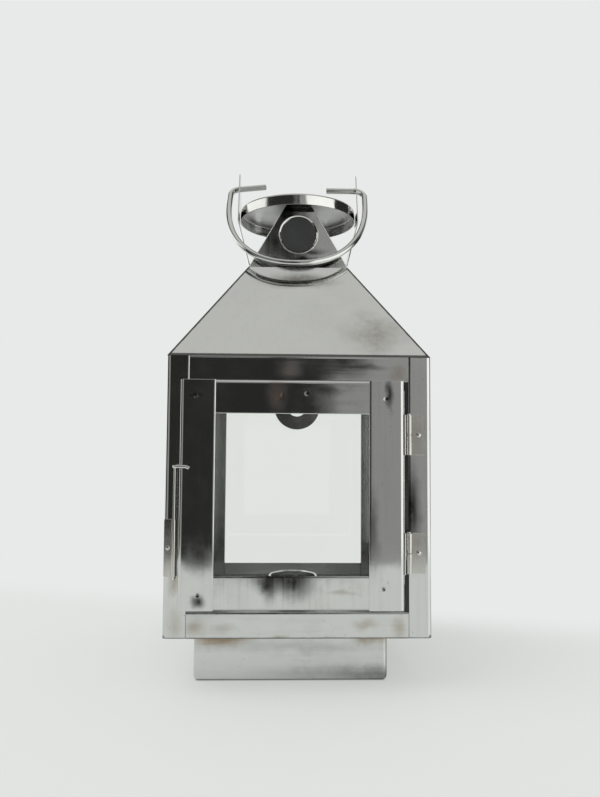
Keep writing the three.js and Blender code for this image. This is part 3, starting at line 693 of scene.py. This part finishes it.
FOOT_STAINS_AND_SHADE = [
    ((-46.0, -60.0, 28.0), (28, 4, 10), STAIN, 1.3, 0.1),
    ((-20.0, -60.0, 29.5), (34, 4, 5.0), STAIN, 0.9, 0),
    ((47.0, -60.0, 28.5), (18, 4, 9), STAIN, 1.3, 0.1),
    ((14.0, -60.0, 31.0), (24, 4, 2.0), STAIN, 0.5, 0),
    # painted shade: darker towards the bottom and the right
    ((-5.0, -60.0, 21.0), (95, 4, 6.0), DEEP, 0.2, 0),
    ((30.0, -60.0, 4.0), (75, 4, 9.0), DEEP, 0.42, 0),
    ((50.0, -60.0, 3.0), (32, 4, 8.0), DEEP, 0.5, 0),
]
# painted reflections and shade on the petal: dark at the upper left and in bands across its lower part
PETAL_REFLECTIONS_AND_SHADE = [
    ((-7.5, -35.0, 302.0), (10, 30, 16), DARK, 1.3, 0),
    ((-14.0, -35.0, 284.0), (8, 30, 13), DARK, 0.8, 0),
    ((0.0, -35.0, 268.5), (42, 30, 7), DARK, 1.5, 0),
    ((2.0, -35.0, 277.0), (24, 30, 4.5), DARK, 1.1, 0),
]

bright = steel("polished_sheet", rough=0.04)
petal_steel = steel("petal_sheet", rough=0.04, patches=PETAL_REFLECTIONS_AND_SHADE, highlight_slant=(34.0, 265.9, 0.57))
cup_steel = steel("cup_sheet", colour=(0.86, 0.86, 0.84, 1), rough=0.16, wave=0.1)
inner_steel = steel(
    "inner_bar_sheet", colour=(0.42, 0.42, 0.41, 1), rough=0.12, stain=0.3, wave=0.05,
)
post_steel = steel(
    "post_sheet", stain=0.18, patches=POST_STAINS_AND_SHADE, dimples=POST_DIMPLES, shaded_lower_edge=(POST_LOW, 0.8),
)
frame_top_steel = steel("frame_top_rail_sheet", stain=0.1, patches=FRAME_TOP_RUST_AND_SHADE, along="X")
frame_low_steel = steel(
    "frame_bottom_rail_sheet", rough=0.12, smudge=0.12, stain=0.4, patches=FRAME_LOW_MARKS, along="X",
    shaded_lower_edge=(POST_LOW, 0.8),
)
stile_steel = steel("stile_sheet", stain=0.12, patches=STILE_MARKS, dimples=STILE_DIMPLES)
top_rail_steel = steel(
    "door_top_rail_sheet", stain=0.15, patches=TOP_RAIL_MARKS, dimples=TOP_RAIL_DIMPLES, along="X",
)
low_rail_steel = steel(
    "door_bottom_rail_sheet", rough=0.12, smudge=0.12, stain=0.3, patches=LOW_RAIL_MARKS,
)
pan_steel = steel("floor_sheet", colour=(0.33, 0.33, 0.32, 1), rough=0.4, smudge=0.2, stain=0.6)
foot_steel = steel(
    "foot_sheet", rough=0.10, smudge=0.14, stain=0.5, wave=0.25, patches=FOOT_STAINS_AND_SHADE, along="X",
    shaded_lower_edge=(0.0, 1.5),
)
cap_steel = spun("cap_sheet")
wire_steel = steel("bright_wire", rough=0.05, wave=0.0, smudge=0.05)
plate = steel("plated_leaf", colour=(0.53, 0.52, 0.49, 1), rough=0.12, wave=0.06, stain=0.3)
dark = enamelled("dark_roundel", (0.028, 0.030, 0.029, 1))
roof_steel = hipped("roof_sheet")
clear = glass("window_glass", (0.975, 0.98, 0.965, 1), 1.34)
side_clear = glass("side_window_glass", (0.93, 0.96, 0.94, 1), 1.52)


# Frame of the body

def corner_posts():
    """The four posts, and behind the front right one's cut edge a strip across the slit beside the
    door, painted black there as the slit's shade."""
    (inner, front, low), (outer, _, high) = span("front_right_post")
    middle = outer - SHEET / 2
    line = bent([(inner, -middle), (middle, -middle), (middle, -inner)], POST_BEND - SHEET / 2, 12)
    line = rolled(rolled(line, (-1, 0))[::-1], (0, 1))
    post = strip(line, SHEET, "Z", low, high)
    # the strip behind the slit, painted black there as shade
    slit_strip = np.array([(inner + SLIT_STRIP_REACH * end, front + SLIT_STRIP_DEPTH) for end in (-1, 1)])
    slit_strip_low, slit_strip_high = span("front_bottom_rail")[1, 2], span("front_top_rail")[0, 2]
    for turns, corner in enumerate(("front_right", "back_right", "back_left", "front_left")):
        grids = [quarter_turned(post, turns)]
        if corner == "front_right":
            grids.append(strip(slit_strip, SHEET, "Z", slit_strip_low, slit_strip_high))
        made(f"{corner}_post", post_steel, *grids)


def flat_rails():
    """The bottom and top rails: one of each, turned to the four sides."""
    for height, material in (("bottom", frame_low_steel), ("top", frame_top_steel)):
        (left, front, low), (right, back, high) = span(f"front_{height}_rail")
        line = np.array([((front + back) / 2, low), ((front + back) / 2, high)])
        line = rolled(rolled(line, (1, 0))[::-1], (1, 0))
        rail = strip(line, SHEET, "X", left, right)
        for turns, side in enumerate(("front", "right", "back", "left")):
            made(f"{side}_{height}_rail", material, quarter_turned(rail, turns))


def foot_tray():
    """Outer wall, flange and inner wall of the tray as one profile of square rings."""
    low, high = span("foot")
    reach, top = (high[0] - low[0]) / 2, high[2]
    centre = ((low[0] + high[0]) / 2, 0, 0)
    outer = arc((reach - FOOT_BEND, FOOT_BEND), FOOT_BEND, -90, 0)
    inner = arc((reach - FOOT_BEND, FOOT_BEND), FOOT_BEND - SHEET, 0, -90)
    flange = reach - FOOT_FLANGE
    rows = [*outer, (reach, top - EDGE), (reach - EDGE, top), (flange, top), (flange, top - SHEET)]
    rows += [(reach - SHEET, top - SHEET), *inner]
    profile = [(at, z, max(FOOT_BEND - (reach - at), SLIVER)) for at, z in rows]
    made("foot", foot_steel, square_lathe(profile, centre))


def roof_shell():
    """The eave's flange, the eave, the four slopes up to the opening, and the same inside."""
    body_top = span("front_right_post")[1, 2]
    low, high = span("roof")
    half, top = high[0], high[2]
    rim = half - SHEET - FIT
    slope = math.atan2(top - body_top, half - ROOF_OPENING)
    cut = SHEET / math.sin(slope)
    seam = body_top + (half - cut - (rim - SHEET)) * math.tan(slope)
    profile = [
        (rim, low[2], RIM_BEND),
        (rim, body_top, RIM_BEND),
        (half - EDGE, body_top, ROOF_BEND),
        (half, body_top + EDGE, ROOF_BEND),
        (ROOF_OPENING, top, ROOF_BEND),
        (ROOF_OPENING - cut, top, ROOF_BEND - SHEET),
        (rim - SHEET, seam, RIM_BEND - SHEET),
        (rim - SHEET, low[2], RIM_BEND - SHEET),
    ]
    made("roof", roof_steel, square_lathe(profile, steps=6, closed=True), sharp=25)


# Chimney

def cap_lid():
    """A shallow dome, a rolled edge and a rim, outside and then inside."""
    low, high = span("cap")
    radius, bottom = high[0], low[2]
    top = high[2] - CAP_DOME
    flat = radius - CAP_BEND
    share = np.linspace(0, 1, 12)[:-1]
    corner = (flat, top - CAP_BEND)

    def dome(z):
        return np.stack([flat * share, z + CAP_DOME * (1 - share**2)], -1)

    profile = np.vstack([
        dome(top - SHEET),
        arc(corner, CAP_BEND - SHEET, 90, 0),
        [(radius - SHEET, bottom + EDGE), (radius - SHEET + EDGE, bottom)],
        [(radius - EDGE, bottom), (radius, bottom + EDGE)],
        arc(corner, CAP_BEND, 0, 90),
        dome(top)[::-1],
    ])
    made("cap", cap_steel, lathe(profile, (0, 0, 0), sides=160))


def round_vents():
    """An eyelet through each petal, rolled over at its front, and the roundel inside it."""
    for side, sign in (("front", -1), ("back", 1)):
        petal = span(f"{side}_petal")
        face = petal[0, 1] if sign < 0 else petal[1, 1]
        low, high = span(f"{side}_eyelet")
        centre = (0, face, (low[2] + high[2]) / 2)
        radius = (high[0] - low[0]) / 2 - EYELET_WALL
        neck = radius - EYELET_BEAD
        back = -SHEET - FIT
        rim = np.vstack([
            [(neck - EYELET_WALL, back - EYELET_WALL), (radius + EYELET_WALL, back - EYELET_WALL)],
            [(radius + EYELET_WALL, back), (neck, back), (neck, EYELET_LIFT)],
            arc((radius, EYELET_BEAD + EYELET_LIFT), EYELET_BEAD, -90, 130, 16),
            [(neck - EYELET_WALL, EYELET_BEAD)],
        ])
        made(f"{side}_eyelet", bright, lathe(rim * (1, sign), centre, "Y"))
        disc = neck - EYELET_WALL - FIT
        share = np.linspace(1, 0, 8)[1:]
        dish = np.stack([(disc - FIT) * share, -ROUNDEL_DISH * (1 - share**2)], -1)
        edge = [(disc, -ROUNDEL_SHEET), (disc, -ROUNDEL_EDGE), (disc - ROUNDEL_EDGE, 0)]
        front = np.vstack([[(0, -ROUNDEL_SHEET)], edge, dish])
        made(f"{side}_roundel", dark, lathe(front * (1, sign), centre, "Y"))


# Bail

def bail_path():
    """The bail's middle line: in through an ear, a bend, a shoulder, and a bow that is half a
    superellipse |x / leg|^p + |y / drop|^p = 1, drawn in a plane, swayed to the left by a small share
    of y and leaned about the pivot line."""
    def sunk(x):
        return (EAR_PLACE - x) * math.tan(BAIL_LEFT_TILT)

    left = [(-BAIL_LEFT_END, sunk(BAIL_LEFT_END)), (-BAIL_LEG, sunk(BAIL_LEG))]
    left.append((-BAIL_LEG, -BAIL_SHOULDER))
    right = [(BAIL_LEG, -BAIL_SHOULDER), (BAIL_LEG, 0), (BAIL_RIGHT_END, 0)]
    angle = np.linspace(0, math.pi, 121)[1:-1]
    power = 2 / BAIL_POWER
    x = -BAIL_LEG * np.sign(np.cos(angle)) * np.abs(np.cos(angle)) ** power
    y = -BAIL_SHOULDER - (BAIL_DROP - BAIL_SHOULDER) * np.sin(angle) ** power
    flat = np.vstack([bent(left, BAIL_BEND, 16), np.stack([x, y], -1), bent(right, BAIL_BEND, 16)])
    flat[:, 0] += BAIL_SWAY * np.minimum(flat[:, 1] + BAIL_BEND, 0)
    lean = QUARTER - BAIL_LEAN
    rise = pivot("bail_pivot")[2] + flat[:, 1] * math.sin(lean)
    return np.stack([flat[:, 0], flat[:, 1] * math.cos(lean), rise], -1)


# Door

def door_frame():
    """Two stiles and two rails, each a strip folded back at its outer edge."""
    for side, sign in (("left", -1), ("right", 1)):
        (x0, front, low), (x1, back, high) = span(f"door_{side}_stile")
        outer, edge = (x0 + SHEET / 2, x1) if sign < 0 else (x1 - SHEET / 2, x0)
        face = front + SHEET / 2
        line = rolled(bent([(outer, back), (outer, face), (edge, face)], DOOR_BEND, 12), (0, 1))
        made(f"door_{side}_stile", stile_steel, strip(line, SHEET, "Z", low, high))
    for place, sign, material in (("top", 1, top_rail_steel), ("bottom", -1, low_rail_steel)):
        (x0, front, low), (x1, back, high) = span(f"door_{place}_rail")
        fold, inner = (high - SHEET / 2, low) if sign > 0 else (low + SHEET / 2, high)
        face = front + SHEET / 2
        line = rolled(bent([(back, fold), (face, fold), (face, inner)], DOOR_BEND, 12), (1, 0))
        made(f"door_{place}_rail", material, strip(line, SHEET, "X", x0, x1))


def door_washer():
    """A flat ring with eased edges."""
    (x0, y0, z0), (x1, y1, z1) = span("door_washer")
    radius, hole, edge, back = (x1 - x0) / 2, WASHER_HOLE, WASHER_EDGE, y1 - y0
    ring = [(hole, edge), (hole + edge, 0), (radius - edge, 0), (radius, edge)]
    ring += [(radius, back - edge), (radius - edge, back), (hole + edge, back), (hole, back - edge)]
    made("door_washer", plate, lathe(ring, ((x0 + x1) / 2, y0, (z0 + z1) / 2), "Y"))


def candle_cup():
    """A cup with a rolled rim, outside and then inside."""
    low, high = span("candle_cup")
    radius = (high[0] - low[0]) / 2 - 2 * CUP_BEAD + CUP_WALL
    height = high[2] - low[2]
    centre = ((low[0] + high[0]) / 2, 0, low[2])
    profile = np.vstack([
        [(0, 0)],
        arc((radius - CUP_BEND, CUP_BEND), CUP_BEND, -90, 0),
        arc((radius - CUP_WALL + CUP_BEAD, height - CUP_BEAD), CUP_BEAD, -60, 180, 14),
        arc((radius - CUP_BEND, CUP_BEND), CUP_BEND - CUP_WALL, 0, -90),
        [(0, CUP_WALL)],
    ])
    made("candle_cup", cup_steel, lathe(profile, centre))


# Hinges and latch

def curl(centre, radius, wall, start, sweep, axis_low, axis_high):
    """A rolled tube: an arc of sheet about the pin, thickened by its wall and carried along Z."""
    line = arc(centre, radius - wall / 2, start, start + sweep, 40)
    return strip(line, wall, "Z", axis_low, axis_high)


def leaf_plate(x0, x1, y0, y1, low, high, corner):
    """A flat plate with its two far corners rounded, drawn in X and Z and carried along Y."""
    turn = math.copysign(1, x1 - x0)
    lower = arc((0, 0), corner, -90, 0, 6) * (turn, 1) + (x1 - turn * corner, low + corner)
    upper = arc((0, 0), corner, 0, 90, 6) * (turn, 1) + (x1 - turn * corner, high - corner)
    outline = np.vstack([[(x0, high)], [(x0, low)], lower, upper])
    middle = outline.mean(0)
    inset = middle + (outline - middle) * (1 - 2 * EDGE / (high - low))
    rows = [(inset, y0), (outline, y0 + EDGE), (outline, y1)]
    points = [np.stack([flat[:, 0], np.full(len(flat), y), flat[:, 1]], -1) for flat, y in rows]
    return sheet_grid(np.stack(points))


def hinges():
    """Two butt hinges: leaves rolled round a pin, the post's leaf below and the door's above."""
    joint = pivot("door_hinge")
    for level in ("lower", "upper"):
        (_, _, low), (x1, y1, high) = span(f"{level}_hinge_post_leaf")
        half, gap = (high - low) / 2, KNUCKLE_GAP
        centre = (joint[0], joint[1])
        start = joint[0] + KNUCKLE_RADIUS + FIT
        neck = np.array([(start, y1 - LEAF_SHEET / 2), (joint[0] + 0.9 * MM, y1 - LEAF_SHEET / 2)])
        made(
            f"{level}_hinge_post_leaf",
            plate,
            leaf_plate(start, x1, y1 - LEAF_SHEET, y1, low, high, LEAF_CORNER),
            strip(neck, LEAF_SHEET, "Z", low, low + half - gap),
            curl(centre, KNUCKLE_RADIUS, KNUCKLE_WALL, 60, KNUCKLE_SWEEP, low, low + half - gap),
        )
        x0, y0, _ = span(f"{level}_hinge_door_leaf")[0]
        tongue = np.array([(x0, joint[1]), (joint[0] - 1.1 * MM, joint[1])])
        middle = x0 + LEAF_SHEET / 2
        flat = np.array([(middle, y0), (middle, joint[1] + LEAF_SHEET / 2)])
        made(
            f"{level}_hinge_door_leaf",
            plate,
            strip(flat, LEAF_SHEET, "Z", low, high),
            strip(tongue, LEAF_SHEET, "Z", high - half + gap, high),
            curl(centre, KNUCKLE_RADIUS, KNUCKLE_WALL, -150, KNUCKLE_SWEEP, high - half + gap, high),
        )
        pin_low, pin_high = span(f"{level}_hinge_pin")
        head = (pin_high[0] - pin_low[0]) / 2
        shank, top = PIN_RADIUS, pin_high[2]
        profile = np.vstack([
            [(0, pin_low[2]), (shank - EDGE, pin_low[2]), (shank, pin_low[2] + EDGE)],
            [(shank, top - PIN_HEAD), (head, top - PIN_HEAD)],
            arc((head - PIN_ROUND, top - PIN_ROUND), PIN_ROUND, 0, 90, 6),
            [(0, top)],
        ])
        made(f"{level}_hinge_pin", plate, lathe(profile, (joint[0], joint[1], 0), sides=40))


def rivet(node, axis, sign):
    """A domed head, half an ellipse of radius and rise, over a short shank."""
    low, high = span(node)
    centre = (low + high) / 2
    index = "XYZ".index(axis)
    across = (index + 1) % 3
    radius = (high[across] - low[across]) / 2
    face = high[index] if sign > 0 else low[index]
    rise, edge, tail = RIVET_RISE, RIVET_EDGE, high[index] - low[index]
    swing = np.radians(np.linspace(0, 90, 12))
    shank = [(0, rise - tail), (RIVET_SHANK, rise - tail), (RIVET_SHANK, 0), (radius - SLIVER, 0)]
    dome = np.stack([radius * np.cos(swing), edge + (rise - edge) * np.sin(swing)], -1)[:-1]
    profile = np.vstack([shank, dome, [(0, rise)]])
    centre[index] = face - sign * rise
    made(node, plate, lathe(profile * (1, sign), centre, axis, 40))


def latch():
    """A plate curled to a tube, and the wire that turns in it and bends over the door's edge."""
    (x0, _, low), (_, y1, high) = span("latch_plate")
    joint = pivot("latch_pivot")
    centre = (joint[0], joint[1])
    made(
        "latch_plate",
        plate,
        leaf_plate(joint[0] - LATCH_CORNER, x0, y1 - LEAF_SHEET, y1, low, high, LATCH_CORNER),
        curl(centre, LATCH_TUBE_RADIUS, LATCH_TUBE_WALL, 100, 350, low, high),
    )
    wire_low, wire_high = span("latch_wire")
    radius = LATCH_WIRE / 2
    arm_y = wire_low[1] + radius
    arm_z = wire_high[2] - radius
    bend_x = joint[0] + LATCH_REACH
    tip_x = bend_x + LATCH_TIP * math.cos(LATCH_TIP_TURN)
    tip_z = arm_z - LATCH_TIP * math.sin(LATCH_TIP_TURN)
    corners = [
        (joint[0], joint[1], wire_low[2]),
        (joint[0], joint[1], arm_z),
        (joint[0], arm_y, arm_z),
        (bend_x, arm_y, arm_z),
        (tip_x, arm_y, tip_z),
    ]
    path = bent(corners, LATCH_BEND, 10)
    made("latch_wire", wire_steel, tube(path, radius, (1, 1, 1), 24, 0.25 * MM))


corner_posts()
flat_rails()
foot_tray()
roof_shell()
cap_lid()
round_vents()
bail_side = (0, math.cos(BAIL_LEAN), -math.sin(BAIL_LEAN))
made("bail", wire_steel, tube(bail_path(), BAIL_WIRE / 2, bail_side))
door_frame()
door_washer()
candle_cup()
hinges()
latch()
rivet("latch_rivet", "Y", -1)
for level in ("lower", "upper"):
    rivet(f"{level}_hinge_post_rivet", "Y", -1)
    rivet(f"{level}_hinge_door_rivet", "X", 1)
for side in ("front", "back"):
    dressed(f"{side}_petal", petal_steel, PETAL_EDGE)
for side in ("left", "right"):
    dressed(f"{side}_ear", bright)
    dressed(f"door_{side}_clip", inner_steel, BAR_EDGE)
for side in ("right", "back", "left"):
    for end in "ab":
        dressed(f"{side}_channel_{end}", inner_steel, BAR_EDGE)
    slab(f"{side}_glass", clear if side == "back" else side_clear, PANE_EDGE)
slab("door_glass", clear, PANE_EDGE)
dressed("floor_pan", pan_steel)


# Stage

BACKGROUND = (0.806, 0.823, 0.814, 1)
DARK_ROOM = 0.03
CEILING = 0.745
FLOOR_SIZE = 30
KEY_WAY = (0.55, 0.16, -0.82)


def floor():
    """A pale table, darker under the foot, that turns into the backdrop behind the lantern. In mirrors
    it ends half a metre in front and at the sides, and to the right of the lantern it is bright in
    front of it and dim beside it."""

    def paint(s):
        place = s.add("ShaderNodeNewGeometry")
        x, y, _ = s.split(place)
        glossy = s.add("ShaderNodeLightPath", None, None, GLOSSY_RAY)
        # where mirrors see the table at all, and where it turns into the backdrop
        aside = abs(x) - y.maths("MAXIMUM", y, 0.0)
        near = y.smooth(-0.53, -0.49) * (1 - aside.smooth(0.5, 0.56))
        far = (y + x * 0.29).smooth(0.06, 0.16)
        pale = s.add("ShaderNodeBsdfDiffuse", None, {"Color": (0.83, 0.845, 0.83, 1)})
        # the foot's shade, and the bright and dim sides
        under = x.band(-0.0605, 0.0531, 0.003) * y.band(-0.0568, 0.0568, 0.003)
        lit_side = (x + y * 0.3).smooth(0.045, 0.06) * 0.6
        dark_side = y.smooth(-0.07, -0.05) * x.band(0.055, 0.4, 0.02) * 0.75
        strength = (1 + glossy * (0.2 + lit_side)) * (1 - glossy * dark_side) * (1 - under * 0.9)
        glow = s.add("ShaderNodeEmission", None, {"Color": (0.765, 0.785, 0.765, 1), "Strength": strength})
        lit = s.add("ShaderNodeMixShader", None, {0: 0.55, 1: pale, 2: glow})
        backdrop = s.add("ShaderNodeEmission", None, {"Color": BACKGROUND})
        shown = s.add("ShaderNodeMixShader", None, {0: far, 1: lit, 2: backdrop})
        gone = s.add("ShaderNodeBsdfTransparent")
        return s.add("ShaderNodeMixShader", None, {0: (1 - near) * glossy, 1: shown, 2: gone})

    size = FLOOR_SIZE
    corners = [(-size, -size, 0), (size, -size, 0), (size, size, 0), (-size, size, 0)]
    mesh = bpy.data.meshes.new("floor")
    mesh.from_pydata(corners, [], [(0, 1, 2, 3)])
    mesh.materials.append(shaded("pale_floor", paint))
    plane = bpy.data.objects.new("floor", mesh)
    bpy.context.scene.collection.objects.link(plane)


def studio():
    """The room: pale to the eye and even to dull surfaces. To mirrors it has a dark side in front,
    grey and bright panels to the sides and dark gaps between them, under a light ceiling. Each entry
    is a span of bearing in degrees from the front, positive to the right, its level and the width over
    which it fades."""
    left = [(-180, -152, 0.5, 1.6), (-150, -104, 1.3, 1.6), (-60, -14, 0.36, 1.6)]
    right = [(17, 97, 1.45, 1.6), (172, 180, 0.4, 1.6)]
    low = [*left, (5, 15, 0.38, 1.6), *right]
    middle = [*left, (8.2, 15, 0.40, 2.0), *right]
    high = [
        (-180, -146, 1.0, 1.6), (-142, -68, 1.45, 3), (-8, -1.2, 0.16, 0.5), (2.0, 16, 0.40, 0.3),
        (18, 75, 1.5, 3), (123, 180, 0.8, 1.6),
    ]
    upper = [
        (-180, -138, 0.95, 4), (-100, -62, 0.35, 6), (-62, 20, 0.42, 4), (24, 60, 0.5, 6),
        (78, 132, 0.22, 4), (134, 180, 0.95, 4),
    ]

    world = bpy.data.worlds.new("studio")
    bpy.context.scene.world = world
    world.use_nodes = True
    s = Shader(world.node_tree)
    x, y, z = s.split(s.add("ShaderNodeTexCoord", None, None, 0))
    bearing = x.maths("ARCTAN2", x, 0 - y) * (180 / math.pi)
    height = z.maths("ARCSINE", z) * (180 / math.pi)

    def ring(spans):
        level = DARK_ROOM
        for start, end, tone, soft in spans:
            level = level + bearing.band(start, end, soft) * (tone - DARK_ROOM)
        return level

    # one ring above the other, each from a height on, then a bright patch in front and the ceiling
    level = ring(low)
    for start, end, spans in ((4.9, 6.2, middle), (8.5, 11.5, high), (25, 31, upper)):
        rise = height.smooth(start, end)
        level = level * (1 - rise) + ring(spans) * rise
    level = level + height.band(12.6, 14.4, 0.5) * bearing.band(-6, 9, 1.5) * 0.3
    ceiling = height.smooth(50, 60)
    level = level * (1 - ceiling) + CEILING * ceiling

    path = s.tree.nodes.new("ShaderNodeLightPath")
    seen = Value(s, path.outputs[CAMERA_RAY]) + Value(s, path.outputs[TRANSMISSION_RAY])
    glossy = Value(s, path.outputs[GLOSSY_RAY])
    mirror = s.add("ShaderNodeCombineColor", None, {0: level, 1: level * 1.005, 2: level * 0.98})
    lit = s.blend(glossy, (0.74, 0.75, 0.745, 1), mirror)
    shown = s.blend(seen, lit, BACKGROUND)
    background = s.add("ShaderNodeBackground", None, {"Color": shown})
    s.add("ShaderNodeOutputWorld", None, {"Surface": background})


def key_light():
    """A wide soft key from the upper left, left out of mirrors."""
    data = bpy.data.lights.new("key", "SUN")
    data.energy, data.angle = 0.75, math.radians(42)
    lamp = bpy.data.objects.new("key", data)
    lamp.rotation_euler = Vector(KEY_WAY).to_track_quat("-Z", "Y").to_euler()
    lamp.visible_glossy = False
    bpy.context.scene.collection.objects.link(lamp)


def camera():
    """The photograph's view."""
    data = bpy.data.cameras.new("camera")
    data.sensor_width = 36
    data.lens = data.sensor_width * FOCAL_PIXELS / max(PICTURE)
    data.clip_start = 0.01
    eye = bpy.data.objects.new("camera", data)
    turn = Matrix.Rotation(CAMERA_YAW, 4, "Z") @ Matrix.Rotation(QUARTER + CAMERA_PITCH, 4, "X")
    eye.matrix_world = Matrix.Translation(CAMERA_PLACE) @ turn @ Matrix.Rotation(CAMERA_ROLL, 4, "Z")
    bpy.context.scene.collection.objects.link(eye)
    bpy.context.scene.camera = eye


floor()
studio()
key_light()
camera()
bpy.context.scene.view_settings.view_transform = "Standard"
